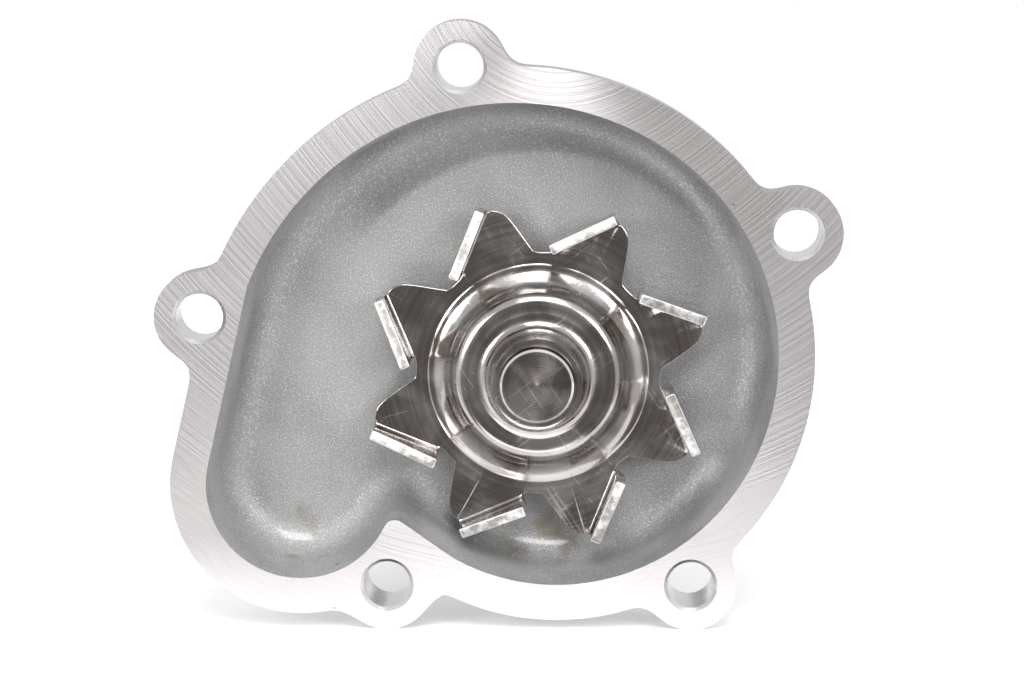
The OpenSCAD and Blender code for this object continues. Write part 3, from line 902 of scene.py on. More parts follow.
@dataclass
class Housing:
    """The die-cast housing: scroll cavity, gasket flange, lugs, boss, ribs and the bores cut into it.

    A name with _r is a radius, _t a thickness, _w a width, _h a height, _at an angle in degrees, and _round the
    radius of a cast edge.
    """

    scroll_centre: tuple[float, float] = (-0.4, 1.1)
    scroll_r: float = 34.5
    scroll_growth: float = 19.2
    tongue_at: float = -134
    scroll_from: float = -115
    scroll_to: float = 162
    pocket_r: float = 16.85
    pocket_inset: float = 7.2
    pocket_at: float = 204.9
    tongue_r: float = 2.0
    tongue_side: float = -25.5
    bridge_from: float = 278
    cavity_depth: float = 18
    floor_t: float = 4
    wall_t: float = 4
    draft: float = 1.2
    floor_fillet: float = 5
    back_round: float = 7
    flange_w: float = 6.4
    flange_t: float = 7
    lug_r: float = 8.1
    lug_fillet: float = 4
    relief_r: float = 6.4
    bolt_chamfer: float = 0.6
    spot_face: float = 0.1
    rib_t: float = 4
    rib_h: float = 30
    free_ribs: tuple[float, ...] = (66, -12, -146)
    rib_round: float = 1.2
    rib_foot: float = 3.5
    boss_flare: float = 6
    boss_wall: float = 4.8
    boss_round: float = 1.0
    stub_wall: float = 2.2
    chamber_step: float = 2.2
    rim_round: float = 0.8
    casing_foot: float = 3
    mouth_round: float = 0.6
    post_inset: float = 0.4
    post_lean: float = 0.02
    post_round: float = 0.7
    pocket_round: float = 1.2
    ledge: tuple[float, float] = (39.6, 44.6)
    ledge_depth: float = 2.0
    ledge_at: float = 92
    ledge_half: float = 62
    ledge_fade: float = 25
    stock: float = 1.2
    cell: float = 0.75
    drill_sides: int = 64
    bore_sides: int = 160
    lugs: list[Lug] = field(default_factory=list)

    def __post_init__(self) -> None:
        """Reads the lugs and the main bore from the frame."""
        for name, mount in MOUNTS.items():
            if name.startswith("bolt_hole"):
                x, _, z = (v / MM for v in mount["pos_m"])
                length = mount["dims"]["length_mm"]
                self.lugs.append(Lug(x, z, length + self.bolt_chamfer))
        self.back = self.cavity_depth + self.floor_t
        self.bolt_r = MOUNTS["bolt_hole_top"]["dims"]["r_mm"]
        ring_low, ring_high = span("bearing_outer_ring")
        seal_low, seal_high = span("seal_case")
        self.bearing_r, self.bearing_from, self.bearing_to = ring_high[0], ring_low[1], ring_high[1]
        self.seal_from, self.seal_to = seal_low[1], seal_high[1]
        self.boss_r = self.bearing_r + self.boss_wall
        plug_low, plug_high = span("weep_plug")
        self.weep_y = (plug_low[1] + plug_high[1]) / 2
        self.plug_r = (plug_high[0] - plug_low[0]) / 2
        self.plug_top, self.stub_low = plug_high[2], plug_low[2] - 0.2

    def scroll_radius(self, angle: np.ndarray | float) -> np.ndarray | float:
        """Radius of the scroll, which grows evenly with the angle."""
        return self.scroll_r + self.scroll_growth * (angle - self.tongue_at) / (self.scroll_to - self.tongue_at)

    def edge(self, grow: float, bridged: bool) -> np.ndarray:
        """Outline of the cavity, moved outward.

        A spiral, its straight run-out, the pocket's circle and, unless bridged, the tongue's circle, each joined
        to the next where a line touches it.

        Args:
            grow: How far the outline is moved.
            bridged: Whether it passes the tongue by, as the outside of the casting does.

        Returns:
            The outline as rows of (x, z).
        """
        centre = np.array(self.scroll_centre)
        turn = np.linspace(self.scroll_from, self.scroll_to, 160)
        scroll = centre + polar(self.scroll_radius(turn) + grow, turn)
        reach = self.scroll_radius(self.scroll_to) - self.pocket_inset
        pocket = centre + polar(reach, self.pocket_at)
        radius = self.pocket_r + grow
        last = self.bridge_from if bridged else 360 + self.tongue_side
        round_pocket = np.linspace(self.touch(scroll[-1], pocket, radius), last, 60)
        parts = [scroll, pocket + polar(radius, round_pocket)]
        if not bridged:
            tip = pocket + polar(radius + self.tongue_r, self.tongue_side)
            stop = self.touch(scroll[0], tip, self.tongue_r)
            parts.append(tip + polar(self.tongue_r, np.linspace(180 + self.tongue_side, stop, 16)))
        return np.vstack(parts)

    @staticmethod
    def touch(point: np.ndarray, centre: np.ndarray, radius: float) -> float:
        """Where a line from a point touches a circle on its left.

        Args:
            point: The point.
            centre: The circle's centre.
            radius: Its radius.

        Returns:
            The angle on the circle, in degrees.
        """
        offset = point - centre
        turn = math.atan2(offset[1], offset[0]) + math.acos(radius / math.hypot(*offset))
        return math.degrees(turn) % 360

    def rib_distance(self, x: np.ndarray, y: np.ndarray, z: np.ndarray, angle: float) -> np.ndarray:
        """Distance to one rib: a plate under the higher of two sloping lines, with rounded edges.

        Args:
            x, y, z: Places, broadcast against each other.
            angle: Direction of the rib, in degrees.

        Returns:
            Signed distances.
        """
        side_x, side_z = polar(1.0, angle)
        outward, across = x * side_x + z * side_z, z * side_x - x * side_z
        top = self.back + self.rib_h
        foot = (self.scroll_radius(max(angle, self.scroll_from)) - 1, self.back + 0.6)
        knee = (self.boss_r + 4, self.back + self.rib_h * 0.55)
        lines = []
        for (r0, y0), (r1, y1) in ((foot, knee), (knee, (self.boss_r - 2, top))):
            length = math.hypot(r1 - r0, y1 - y0)
            lines.append(((outward - r0) * (y1 - y0) - (y - y0) * (r1 - r0)) / length)
        web = np.maximum(blend_union(lines[0], lines[1], 5), np.maximum(-outward, y - top))
        return rounded_overlap(web, np.abs(across) - self.rib_t / 2, self.rib_round)

    def floor_depth(self, x: np.ndarray, z: np.ndarray) -> np.ndarray:
        """Depth of the cavity's floor: level, with a ledge round part of it that climbs as a quarter sine wave.

        Args:
            x: Places along X.
            z: Places along Z, broadcast against x.

        Returns:
            The depths.
        """
        start, end = self.ledge
        away = np.abs(np.degrees(np.arctan2(z, x)) - self.ledge_at)
        fade = np.clip((self.ledge_half - away) / self.ledge_fade, 0, 1)
        climb = np.clip((np.hypot(x, z) - start) / (end - start), 0, 1)
        return self.cavity_depth + self.ledge_depth * np.sin(0.5 * np.pi * climb) * fade * fade * (3 - 2 * fade)

    def casting(self) -> tuple[np.ndarray, np.ndarray]:
        """The raw casting, as the zero level of a distance field.

        The flange, lugs, scroll casing, boss, ribs and weep stub are blended together with cast fillets, and the
        cavity and the bolt-head pockets are taken out. The face stands proud by the milling stock.

        Returns:
            Points and quads.
        """
        box_low, box_high = span("pump_body")
        low = box_low - 2.7 * self.cell - [0, self.stock, 0]
        steps = [np.arange(a, b + 3 * self.cell, self.cell) for a, b in zip(low, box_high)]
        x, y, z = steps[0][:, None, None], steps[1][None, :, None], steps[2][None, None, :]
        plane_x, plane_z = np.meshgrid(steps[0], steps[2], indexing="ij")
        inner = outline_distance(plane_x, plane_z, self.edge(0, False))[:, None, :]
        outer = outline_distance(plane_x, plane_z, self.edge(0, True))[:, None, :]
        away = [np.hypot(x - lug.x, z - lug.z) for lug in self.lugs]
        rim = outer - self.flange_w
        for distance in away:
            rim = blend_union(rim, distance - self.lug_r, self.lug_fillet)
        body = rounded_overlap(rim, y - self.flange_t, self.rim_round)
        for lug, distance in zip(self.lugs, away):
            post = distance - self.lug_r + self.post_inset + self.post_lean * np.abs(y)
            body = blend_union(body, rounded_overlap(post, y - lug.thickness, self.post_round), self.rim_round)
        lean = self.draft * np.clip(y, 0, self.back) / (self.cavity_depth - self.floor_fillet)
        casing = rounded_overlap(outer - self.wall_t + lean, y - self.back, self.back_round)
        body = blend_union(body, casing, self.casing_foot)
        boss = rounded_overlap(np.hypot(x, z) - self.boss_r, y - self.bearing_to, self.boss_round)
        body = blend_union(body, np.maximum(boss, self.cavity_depth - y), self.boss_flare)
        web = np.minimum.reduce([self.rib_distance(x, y, z, angle) for angle in self.rib_angles()])
        body = blend_union(body, np.maximum(web, self.cavity_depth + 1 - y), self.rib_foot)
        stub = np.hypot(x, y - self.weep_y) - self.plug_r - self.stub_wall
        stub = np.maximum(rounded_overlap(stub, self.stub_low - z, self.post_round), z + self.bearing_r)
        body = blend_union(body, stub, self.rib_foot)
        cavity = rounded_overlap(inner + lean, y - self.floor_depth(x, z), self.floor_fillet)
        body = blend_cut(body, cavity, self.mouth_round)
        for lug, distance in zip(self.lugs, away):
            pocket = rounded_overlap(distance - self.relief_r, lug.thickness - y, self.pocket_round)
            body = blend_cut(body, pocket, self.pocket_round)
        return surface_net(np.maximum(body, -self.stock - y), low, self.cell)

    def rib_angles(self) -> list[float]:
        """Directions of the ribs: one points at each lug, and the free ones fill the widest gaps.

        Returns:
            Their angles, in degrees.
        """
        centre_x, centre_z = self.scroll_centre
        at_lugs = [math.degrees(math.atan2(lug.z - centre_z, lug.x - centre_x)) for lug in self.lugs]
        return at_lugs + list(self.free_ribs)

    def tools(self) -> list[Piece]:
        """The cutters: one for the gasket face, one a bolt hole, the stepped main bore and the weep holes.

        Returns:
            Closed solids, each a little longer than what it cuts.
        """
        cutters = [self.block_cutter()]
        for number, lug in enumerate(self.lugs):
            wide, seat = self.bolt_r + self.bolt_chamfer, lug.thickness - self.spot_face
            profile = np.array([[0, -1], [wide, -1], [wide, 0], [self.bolt_r, self.bolt_chamfer],
                                [self.bolt_r, seat - 0.3], [self.bolt_r + 0.3, seat],
                                [self.relief_r + 0.1, seat], [self.relief_r + 0.1, seat + 1], [0, seat + 1]])
            cutters.append(weld(make_piece(f"drill_{number}", *turned(profile, self.drill_sides, (lug.x, lug.z)))))
        chamber_r, bore, end = self.bearing_r - self.chamber_step, self.bearing_r, self.bearing_to
        profile = np.array([[0, self.seal_from - 1], [bore + 1.3, self.seal_from - 1], [bore, self.cavity_depth + 0.5],
                            [bore, self.seal_to], [chamber_r, self.seal_to], [chamber_r, self.bearing_from],
                            [bore, self.bearing_from], [bore, end - 0.6], [bore + 0.7, end + 0.1],
                            [bore + 0.7, end + 2], [0, end + 2]])
        cutters.append(weld(make_piece("boring_bar", *turned(profile, self.bore_sides))))
        weep = [(0, -self.stub_low + 1), (self.plug_r, -self.stub_low + 1), (self.plug_r, -self.plug_top),
                (2.2, -self.plug_top), (2.2, chamber_r - 2), (0, chamber_r - 2)]
        vent = [(0, -self.boss_r - 2), (2.1, -self.boss_r - 2), (2.1, -self.boss_r + 0.4),
                (1.54, -self.boss_r + 0.9), (1.54, 2 - chamber_r), (0, 2 - chamber_r)]
        cutters += [self.cross_drill("weep_drill", weep), self.cross_drill("vent_drill", vent)]
        return cutters

    def block_cutter(self) -> Piece:
        """A block in front of the gasket face, whose back is the plane y = 0.

        Returns:
            The cutter.
        """
        low, high = span("pump_body")
        corners = np.array([(x, y, z) for x in (low[0] - 5, high[0] + 5) for y in (-5 * self.stock, 0)
                            for z in (low[2] - 5, high[2] + 5)], dtype=float)
        sides = np.array([[0, 1, 3, 2], [4, 6, 7, 5], [0, 4, 5, 1], [2, 3, 7, 6], [0, 2, 6, 4], [1, 5, 7, 3]])
        return make_piece("face_mill", corners, sides)

    def cross_drill(self, name: str, profile: list[tuple[float, float]]) -> Piece:
        """A drill along -Z at the weep hole.

        Args:
            name: Name of the cutter.
            profile: Rows of (radius, distance below the shaft's axis), closed along the drill's own axis.

        Returns:
            The cutter.
        """
        points, quads = turned(np.array(profile), 40)
        return weld(make_piece(name, rows_of(points[:, 0], self.weep_y + points[:, 2], -points[:, 1]), quads))

    def is_milled(self, centres: np.ndarray, normals: np.ndarray) -> np.ndarray:
        """Faces on the gasket plane."""
        return (np.abs(centres[:, 1]) < 0.02) & (normals[:, 1] < -0.9)

    def is_bored(self, centres: np.ndarray) -> np.ndarray:
        """Finds the faces cut by a drill, a spot-facer or the boring bar.

        Args:
            centres: Centres of the faces.

        Returns:
            Their mask.
        """
        bored = np.zeros(len(centres), dtype=bool)
        for lug in self.lugs:
            away = np.hypot(centres[:, 0] - lug.x, centres[:, 2] - lug.z)
            bored |= (away < self.bolt_r + self.bolt_chamfer) & (centres[:, 1] > 0.02)
            bored |= (away < self.relief_r) & (np.abs(centres[:, 1] - lug.thickness + self.spot_face) < 0.05)
        away = np.hypot(centres[:, 0], centres[:, 2])
        inside = (centres[:, 1] > self.seal_from) & (away < self.bearing_r + 0.05)
        chamfers = (away < self.bearing_r + 0.7) & (centres[:, 1] > self.bearing_to - 1)
        drill = np.hypot(centres[:, 0], centres[:, 1] - self.weep_y) < self.plug_r + 0.02
        return bored | inside | chamfers | drill

    def build(self, paint: Paintbox) -> None:
        """Casts, machines, dresses and settles the housing.

        Args:
            paint: The materials.
        """
        piece = make_piece("housing_casting", *self.casting())
        combine(piece, self.tools(), Work.CUT)
        paint.dress(shade(piece, 34), CAST, MILLED, BORED)
        centres, normals = faces_of(piece)
        number_materials(piece, self.is_milled(centres, normals), self.is_bored(centres))
        settle(piece, "housing", "pump_body")
        paint.dress_nodes(PLUG, "weep_plug")


@dataclass
class Impeller:
    """The stamped impeller: star plate, eight bent blades and the drawn boss with its collar.

    A blade's bend line runs from inner_r to outer_r and turns through sweep degrees on the way; inner_h and outer_h
    are how far its two ends stand up from the middle of the plate.
    """

    outer_r: float = 31.9
    inner_r: float = 23.8
    blades: int = 8
    blade_steps: int = 14
    sweep: float = 20.3
    first: float = 18.9
    inner_h: float = 9.4
    outer_h: float = 5.7
    sheet: float = 1.8
    notch_r: float = 22.2
    bend_r: float = 1.7
    foot_r: float = 19.6
    top_r: float = 14.6
    boss_h: float = 5.0
    # width of the band along a blade's top and ends that is coloured as a painted highlight
    painted_highlight_w: float = 0.36

    def __post_init__(self) -> None:
        """Takes the plate's place and the collar's height from the frame."""
        low, high = span("impeller")
        self.back, self.collar = high[1], low[1]
        self.front = self.back - self.sheet
        self.middle = self.back - self.sheet / 2
        self.tip_r = span("bearing_shaft")[1][0] - TIP_STEP

    def bend_line(self, at: float) -> tuple[np.ndarray, np.ndarray, np.ndarray]:
        """Middle line of a blade.

        Args:
            at: Angle of its outer end, in degrees.

        Returns:
            Its inner end, its outer end, and the direction from it onto its arm.
        """
        outer, inner = polar(self.outer_r, at), polar(self.inner_r, at + self.sweep)
        run = (outer - inner) / np.linalg.norm(outer - inner)
        return inner, outer, np.array([run[1], -run[0]])

    def star(self) -> np.ndarray:
        """Outline of the plate: each arm goes out along a curved free edge and back along its bend line.

        Returns:
            The outline as rows of (x, z).
        """
        pitch = 360 / self.blades
        lead = self.sweep - pitch + 7.7
        arms = []
        for number in range(self.blades):
            at = self.first + number * pitch
            inner, outer, onto = self.bend_line(at)
            far = self.outer_r - 0.4
            reach = far - self.notch_r
            arms += [polar(self.notch_r, at + lead), polar(self.notch_r + 0.8, at + lead + 1.4),
                     polar(self.notch_r + reach * 0.72, at + lead * 0.5),
                     polar(self.notch_r + reach * 0.86, at + lead * 0.36), polar(far - 0.6, at + lead * 0.2),
                     outer + onto * (self.bend_r - 0.2), inner + onto * (self.bend_r - 0.2),
                     polar(self.notch_r, at + self.sweep + 0.8)]
        return cut_corners(np.array(arms), 3)

    def plate(self) -> Piece:
        """The flat star: a band of quads from the outline to a circle under the boss, on both faces.

        Returns:
            The plate.
        """
        outline = self.star()
        turn = np.degrees(np.arctan2(outline[:, 1], outline[:, 0]))
        hole = polar(self.foot_r - 0.6, turn)
        loops = ((hole, self.front), (outline, self.front), (outline, self.back), (hole, self.back))
        rows = [rows_of(loop[:, 0], y, loop[:, 1]) for loop, y in loops]
        piece = make_piece("star_plate", np.vstack(rows), grid_quads(4, len(outline), wrap_rows=True))
        return bake(bevel(weld(piece), 0.16))

    def blade(self, number: int) -> Piece:
        """One blade: a strip along the bend line, carried from the plate round the bend and up.

        The middle surface is inner end + u times the run along the line, moved onto the arm and up the blade by
        a path of flat, quarter circle and straight; the straight part ends on the sloping top edge.

        Args:
            number: Which blade, from 0.

        Returns:
            The blade.
        """
        at = self.first + number * 360 / self.blades
        inner, outer, onto = self.bend_line(at)
        along = np.linspace(0, 1, self.blade_steps)[:, None]
        arc = np.radians(np.linspace(0, 90, 8))
        flat = self.bend_r * (1 - np.sin(arc))
        lift = self.bend_r * (1 - np.cos(arc))
        inward = np.concatenate([[self.bend_r + 0.6], flat, np.zeros(6)])
        height = self.inner_h + (self.outer_h - self.inner_h) * along
        rise = np.linspace(0, 1, 7)[1:]
        straight = self.bend_r + (height + self.sheet / 2 - self.bend_r) * rise
        up = np.hstack([0 * along, lift + 0 * along, straight])
        base = inner + along * (outer - inner)
        x = base[:, :1] + onto[0] * inward
        z = base[:, 1:] + onto[1] * inward
        quads = grid_quads(*up.shape, wrap_columns=False)
        piece = make_piece(f"blade_{number}", rows_of(x, self.middle - up, z), quads)
        wall = piece.modifiers.new("sheet", "SOLIDIFY")
        wall.thickness, wall.offset, wall.use_even_offset = self.sheet * MM, 0, True
        return weld(bake(bevel(weld(piece), 0.3, 3)))

    def drawn_boss(self) -> Piece:
        """The boss and collar, drawn up from the sheet: a rounded wall profile turned about the axis.

        Returns:
            The boss.
        """
        tip, front, back = self.tip_r, self.front, self.back
        collar_r, top, shoulder = tip + 1.6, front - self.boss_h, self.top_r
        rim = np.array([[tip, self.collar + 0.6], [tip + 0.12, self.collar + 0.25], [tip + 0.4, self.collar + 0.05],
                        [tip + 0.6, self.collar], [collar_r - 0.45, self.collar],
                        [collar_r - 0.15, self.collar + 0.08], [collar_r, self.collar + 0.35]])
        outside = np.array([[collar_r, self.collar + 0.35], [collar_r + 0.2, top - 3.2], [collar_r + 0.9, top - 1.0],
                            [collar_r + 2.4, top], [shoulder - 1.6, top - 0.2], [shoulder - 0.3, top + 0.05],
                            [shoulder + 0.7, top + 0.9], [shoulder + 1.2, top + 2.2], [shoulder + 2.1, front - 1.5],
                            [self.foot_r - 1.0, front - 0.35], [self.foot_r + 0.3, front - 0.12],
                            [self.foot_r + 0.7, front + 0.12], [self.foot_r + 1.1, front + 0.02]])
        inside = np.array([[self.foot_r + 1.1, back - 0.02], [self.foot_r - 0.8, back - 0.03],
                           [self.foot_r - 2.4, back - 0.5], [shoulder + 0.6, back - 1.8],
                           [shoulder - 0.6, top + 3.0], [shoulder - 1.6, top + self.sheet],
                           [collar_r + 1.6, top + self.sheet], [tip + 0.8, top + 1.5], [tip, top + 0.6]])
        profile = np.vstack([rim, cut_corners(outside, 3, False)[1:], cut_corners(inside, 2, False)])
        return weld(make_piece("drawn_boss", *turned(profile, 144)))

    def punched(self, centres: np.ndarray, normals: np.ndarray) -> tuple[np.ndarray, np.ndarray]:
        """Finds the faces punched through the sheet, and the rounded edges round the blades' ends and tops that are
        coloured near-white as a painted highlight.

        Args:
            centres: Centres of the faces.
            normals: Normals of the faces.

        Returns:
            Masks of the torn faces and of the painted edge highlights.
        """
        radius = np.hypot(centres[:, 0], centres[:, 2])
        high = centres[:, 1] < self.front - 2.5
        torn = (radius > self.foot_r + 1.2) & (np.abs(normals[:, 1]) < 0.5) & (centres[:, 1] > self.front - 0.05)
        painted_highlight = np.zeros(len(centres), dtype=bool)
        for number in range(self.blades):
            inner, outer, onto = self.bend_line(self.first + number * 360 / self.blades)
            length = np.linalg.norm(outer - inner)
            run = (outer - inner) / length
            place, across = (centres[:, [0, 2]] - inner) @ run, (centres[:, [0, 2]] - inner) @ onto
            mine = (np.abs(across) < self.sheet / 2 + 0.1) & (place > -0.2) & (place < length + 0.2)
            slope = (self.outer_h - self.inner_h) / length
            top = self.middle - self.sheet / 2 - self.inner_h - slope * place
            near_top = mine & high & (centres[:, 1] < top + self.painted_highlight_w)
            near_end = mine & ((place < self.painted_highlight_w) | (place > length - self.painted_highlight_w))
            up = np.abs(normals[:, 1]) > 0.9
            end_on = np.abs(normals[:, [0, 2]] @ run) > 0.95
            torn |= (near_top & up) | (near_end & end_on)
            # bevel faces along the blade tops and ends get the painted highlight colour
            painted_highlight |= (near_top & ~up & ~end_on & (np.abs(across) < self.sheet / 2 - 0.02)) | (near_top & near_end)
        return torn, painted_highlight & ~torn

    def build(self, paint: Paintbox) -> None:
        """Stamps, dresses and settles the impeller.

        Args:
            paint: The materials.
        """
        piece = self.plate()
        combine(piece, [self.drawn_boss()] + [self.blade(i) for i in range(self.blades)], Work.JOIN)
        piece.name = "impeller_star"
        paint.dress(shade(piece, 20), STAMPED, SHEARED, PAINTED_BURR_HIGHLIGHT)
        number_materials(piece, *self.punched(*faces_of(piece)))
        settle(piece, "rotor", "impeller")


@dataclass
class Shaft:
    """The bearing's shaft, ground all over, with a stepped and centre-drilled end in the impeller."""

    chamfer: float = 0.4
    centre_r: float = 0.7
    groove_r: float = 2.825
    pitch_r: float = 10.175

    def profile(self) -> np.ndarray:
        """Half section from the impeller's end to the hub's end, with both ball grooves as arcs.

        Returns:
            Rows of (radius, y).
        """
        low, high = span("bearing_shaft")
        radius, tip, end = high[0], low[1], high[1]
        tip_r = radius - TIP_STEP
        shoulder = span("impeller")[0][1] + 10.3
        front = [[0, tip + 0.1], [self.centre_r * 0.6, tip + 0.06], [self.centre_r, tip], [tip_r - self.chamfer, tip],
                 [tip_r, tip + self.chamfer], [tip_r, shoulder], [radius - 0.3, shoulder], [radius, shoulder + 0.3]]
        half = math.degrees(math.acos((self.pitch_r - radius) / self.groove_r))
        grooves = []
        for node in ("front_ball_set", "rear_ball_set"):
            ball_low, ball_high = span(node)
            row = (ball_low[1] + ball_high[1]) / 2
            angle = np.radians(np.linspace(-half, half, 13))
            grooves += np.stack([self.pitch_r - self.groove_r * np.cos(angle),
                                 row + self.groove_r * np.sin(angle)], axis=1).tolist()
        back = [[radius, end - 0.8], [radius - 0.8, end], [2.2, end], [1.2, end - 1.4], [0, end - 2.2]]
        return np.array(front + grooves + back)

    def build(self, paint: Paintbox) -> None:
        """Turns, dresses and settles the shaft.

        Args:
            paint: The materials.
        """
        piece = weld(make_piece("pump_shaft", *turned(self.profile(), 128)))
        paint.dress(shade(piece, 20), GROUND, CHAMFER)
        centres, normals = faces_of(piece)
        tip_r = span("bearing_shaft")[1][0] - TIP_STEP
        radius = np.hypot(centres[:, 0], centres[:, 2])
        edge = (np.abs(radius - tip_r + self.chamfer / 2) < self.chamfer) & (np.abs(normals[:, 1] + 0.7) < 0.2)
        number_materials(piece, edge)
        settle(piece, "rotor", "bearing_shaft")


@dataclass
class Hub:
    """The pulley hub: a turned flange with its pilot and tapped holes."""

    thread_pitch: float = 1.25
    thread_depth: float = 0.62
    thread_sides: int = 36
    web_r: float = 14.0

    def profile(self) -> np.ndarray:
        """Half section of the hub, from the bearing's side to the pilot.

        Returns:
            Rows of (radius, y), closed.
        """
        low, high = span("pulley_hub")
        start, end, outer = low[1], high[1], high[0]
        bore = span("bearing_shaft")[1][0]
        pilot = MOUNTS["pulley_pilot"]["dims"]["r_mm"]
        face = MOUNTS["pulley_face"]["pos_m"][1] / MM
        return np.array([
            [bore, start + 0.5], [bore + 0.5, start], [self.web_r - 0.6, start], [self.web_r, start + 0.4],
            [self.web_r + 0.6, start + 0.8], [self.web_r + 1.4, start + 1.0], [outer - 0.9, start + 1.0],
            [outer - 0.2, start + 1.3], [outer, start + 1.9], [outer, face - 0.9], [outer - 0.25, face - 0.25],
            [outer - 0.9, face], [pilot + 0.7, face], [pilot + 0.2, face + 0.3], [pilot, face + 0.3],
            [pilot, end - 1.2], [pilot - 0.3, end - 0.4], [pilot - 1.1, end], [bore + 0.9, end],
            [bore, end - 0.9]])

    def tap(self, x: float, z: float) -> Piece:
        """A threaded cutter: a cylinder whose radius is the hole's plus a triangle wave of height and angle.

        Args:
            x: Its place along X.
            z: Its place along Z.

        Returns:
            The cutter.
        """
        low, high = span("pulley_hub")
        crest = MOUNTS["pulley_bolts"]["dims"]["hole_r_mm"]
        y = np.arange(low[1] - 1, high[1], self.thread_pitch / 6)[:, None]
        angle = np.linspace(0, 2 * np.pi, self.thread_sides, endpoint=False)
        phase = (y / self.thread_pitch - angle / (2 * np.pi)) % 1
        radius = crest + self.thread_depth * np.clip(1.5 - np.abs(4 * phase - 2), 0, 1)
        radius, y = np.pad(radius, ((1, 1), (0, 0))), np.pad(y, ((1, 1), (0, 0)), mode="edge")
        points = rows_of(x + radius * np.cos(angle), y, z + radius * np.sin(angle))
        return weld(make_piece("tap", points, grid_quads(len(y), self.thread_sides)))

    def build(self, paint: Paintbox) -> None:
        """Turns, taps, dresses and settles the hub.

        Args:
            paint: The materials.
        """
        piece = weld(make_piece("drive_hub", *turned(self.profile(), 160)))
        pattern = MOUNTS["pulley_bolts"]["dims"]
        turn = (np.arange(pattern["count"]) + 0.5) * 360 / pattern["count"]
        combine(piece, [self.tap(x, z) for x, z in polar(pattern["pcd_mm"] / 2, turn)], Work.CUT)
        paint.dress(shade(piece, 20), HUB)
        settle(piece, "rotor", "pulley_hub")


@dataclass
class FaceSeal:
    """The seal between cavity and bearing; its spring and sleeve are built here, the rest is carried over."""

    wire: float = 1.2
    turns: float = 2.5

    def spring(self) -> Piece:
        """The coil: a circle of wire carried along a helix, both worked out on one grid and capped at its ends.

        Returns:
            The coil.
        """
        low, high = span("seal_spring")
        wire_r, coil_r = self.wire / 2, high[0] - self.wire / 2
        steps, sides = 150, 16
        along = np.linspace(0, 1, steps)[:, None]
        turn = 2 * np.pi * self.turns * along
        side = np.linspace(0, 2 * np.pi, sides, endpoint=False)
        thick = wire_r * np.where((along == 0) | (along == 1), 0, 1)
        radius = coil_r + thick * np.cos(side)
        middle = low[1] + wire_r + (high[1] - low[1] - self.wire) * along
        points = rows_of(radius * np.cos(turn), middle + thick * np.sin(side), radius * np.sin(turn))
        return weld(make_piece("seal_coil", points, grid_quads(steps, sides)))

    def bellows(self) -> Piece:
        """The rubber sleeve: a profile with one outward fold, its corners cut, turned about the axis.

        Returns:
            The sleeve.
        """
        low, high = span("seal_bellows")
        front, back, fold, inner = low[1], high[1], high[0], inner_radius("seal_bellows")
        middle = (front + back) / 2
        profile = np.array([[inner, front], [inner + 2.0, front], [inner + 2.0, front + 0.8],
                            [inner + 1.4, front + 1.4], [fold, middle - 0.2], [fold, middle + 0.6],
                            [inner + 1.4, back - 1.6], [inner + 2.0, back - 1.0], [inner + 2.0, back],
                            [inner, back], [inner, back - 1.8], [fold - 1.1, middle + 0.2], [inner, front + 1.6]])
        return weld(make_piece("seal_sleeve", *turned(cut_corners(profile, 2), 96)))

    def build(self, paint: Paintbox) -> None:
        """Builds the spring and sleeve, and dresses the other pieces.

        Args:
            paint: The materials.
        """
        for piece, node, finish in ((self.spring(), "seal_spring", SPRING), (self.bellows(), "seal_bellows", RUBBER)):
            paint.dress(shade(piece, 50), finish)
            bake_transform(piece)
            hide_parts(node)
            LOG.info("%s: %d faces, between housing and seal_face", piece.name, len(piece.data.polygons))
        paint.dress_nodes(BRASS, "seal_case", "seal_band")
        paint.dress_nodes(CARBON, "seal_carbon_ring")
        paint.dress_nodes(CERAMIC, "mating_ring")
        paint.dress_nodes(RUBBER, "mating_ring_cup", "slinger")


@dataclass
class Bearing:
    """The cartridge bearing's ring, balls, cages and lip seals, all carried over."""

    def build(self, paint: Paintbox) -> None:
        """Dresses the bearing's pieces.

        Args:
            paint: The materials.
        """
        paint.dress_nodes(BEARING, "bearing_outer_ring", "front_ball_set", "rear_ball_set")
        paint.dress_nodes(NYLON, "front_ball_cage", "rear_ball_cage")
        paint.dress_nodes(RUBBER, "front_bearing_seal", "rear_bearing_seal")


# ---------------------------------------------------------------- studio

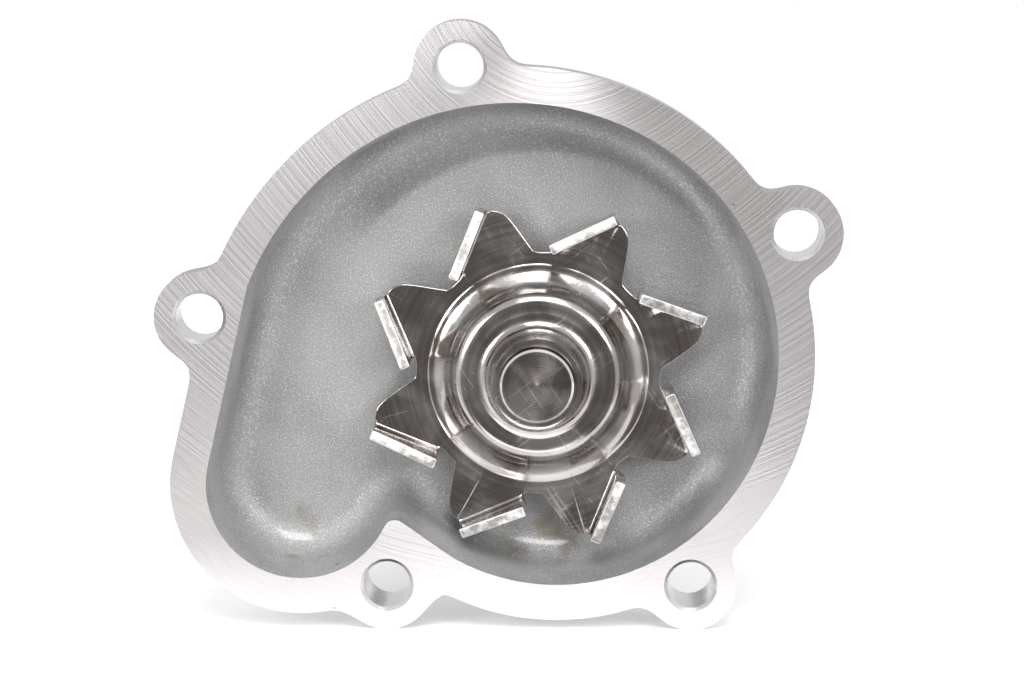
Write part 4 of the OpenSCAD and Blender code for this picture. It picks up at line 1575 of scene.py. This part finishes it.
@dataclass
class Studio:
    """The pale floor, the soft lights, the surroundings and the camera.

    Angles are in degrees. The room darkens towards the camera's side as the cosine to it goes through dark_zone, and
    paper is the floor's front edge, back edge and half width.
    """

    distance: float = 600.0
    azimuth: float = 1.415
    elevation: float = 8.8
    roll: float = -0.145
    aim: tuple[float, float, float] = (-4.44, 0.0, 7.81)
    lens: float = 118.74
    sensor: float = 36.0
    dark_zone: tuple[float, float] = (0.68, 0.9)
    paper: tuple[float, float, float] = (-45.0, 800.0, 900.0)

    def camera(self) -> None:
        """Puts the camera on its sphere round the aim, looking at it."""
        azimuth, elevation, roll = (math.radians(v) for v in (self.azimuth, self.elevation, self.roll))
        back = np.array([math.sin(azimuth) * math.cos(elevation), -math.cos(azimuth) * math.cos(elevation),
                         math.sin(elevation)])
        right = np.array([math.cos(azimuth), math.sin(azimuth), 0])
        up = np.cross(back, right)
        turned_right = right * math.cos(roll) + up * math.sin(roll)
        turned_up = up * math.cos(roll) - right * math.sin(roll)
        data = bpy.data.cameras.new("camera")
        data.sensor_width, data.lens = self.sensor, self.lens
        data.clip_start, data.clip_end = 0.01, 20
        camera = bpy.data.objects.new("camera", data)
        place = (np.array(self.aim) + self.distance * back) * MM
        world = np.eye(4)
        world[:3] = np.stack([turned_right, turned_up, back, place], axis=1)
        camera.matrix_world = Matrix(world.tolist())
        bpy.context.scene.collection.objects.link(camera)
        bpy.context.scene.camera = camera

    def lamp(self, name: str, place: Sequence[float], size: float, power: float) -> None:
        """A square soft light that faces the pump.

        Args:
            name: Its name.
            place: Where it hangs, in metres.
            size: Its side, in metres.
            power: Its power, in watts.
        """
        data = bpy.data.lights.new(name, "AREA")
        data.shape, data.size, data.energy = "SQUARE", size, power
        lamp = bpy.data.objects.new(name, data)
        lamp.location = place
        lamp.rotation_euler = (-Vector(place)).to_track_quat("-Z", "Y").to_euler()
        bpy.context.scene.collection.objects.link(lamp)

    def surroundings(self) -> None:
        """A white room that is darker where the camera stands, as bright metal reflects it; seen as plain white."""
        world = bpy.data.worlds.new("studio")
        world.use_nodes = True
        graph = Graph(world.node_tree)
        direction = graph.put("TexCoord").outputs["Generated"]
        toward = graph.put("VectorMath", {0: direction, 1: (0.0, -0.985, -0.174)}, operation="DOT_PRODUCT")
        room = graph.mix(graph.remap(toward.outputs["Value"], *self.dark_zone), grey(0.85), grey(0.2, 0.04))
        seen = graph.put("LightPath").outputs["Is Camera Ray"]
        glow = graph.put("Background", {"Color": graph.mix(seen, room, grey(1.0)), "Strength": 1.0})
        graph.put("OutputWorld", {"Surface": glow.outputs[0]})
        bpy.context.scene.world = world

    def floor(self) -> None:
        """A wide sheet of pale paper just under the lower lugs, a little lit from below like a light table."""
        low = span("pump_body")[0][2] - 0.02
        front, back, half = self.paper
        corners = np.array([[-half, front, low], [half, front, low], [half, back, low], [-half, back, low]])
        piece = make_piece("floor", corners, np.array([[0, 1, 2, 3]]))
        material = bpy.data.materials.new("floor_paper")
        material.use_nodes = True
        graph = Graph(material.node_tree)
        fibres = graph.noise(graph.put("TexCoord").outputs["Object"], 900, 4)
        bump = graph.put("Bump", {"Height": fibres, "Distance": 2e-5})
        shader = graph.put("BsdfPrincipled", {"Base Color": grey(0.84), "Roughness": 0.6, "Normal": bump.outputs[0],
                                              "Emission Color": grey(1.0), "Emission Strength": 0.3})
        graph.put("OutputMaterial", {"Surface": shader.outputs[0]})
        piece.data.materials.append(material)

    def build(self) -> None:
        """Sets up the whole studio."""
        self.camera()
        self.surroundings()
        self.floor()
        self.lamp("overhead", (0.03, -0.5, 0.62), 0.4, 4.0)
        self.lamp("left", (-0.5, -0.6, 0.2), 0.3, 2.4)
        self.lamp("right", (0.45, -0.6, 0.25), 0.3, 2.4)
        self.lamp("low", (-0.05, -0.45, -0.35), 0.3, 0.9)
        settings = bpy.context.scene.view_settings
        settings.view_transform, settings.look, settings.exposure = "Standard", "None", 0.0


def main() -> None:
    """Builds the studio and every sub-assembly in order."""
    logging.basicConfig(level=logging.INFO, format="%(name)s: %(message)s")
    Studio().build()
    paint = Paintbox()
    for assembly in (Housing(), Impeller(), Shaft(), Hub(), FaceSeal(), Bearing()):
        assembly.build(paint)
        LOG.info("%s done", type(assembly).__name__)


if __name__ == "__main__":
    main()
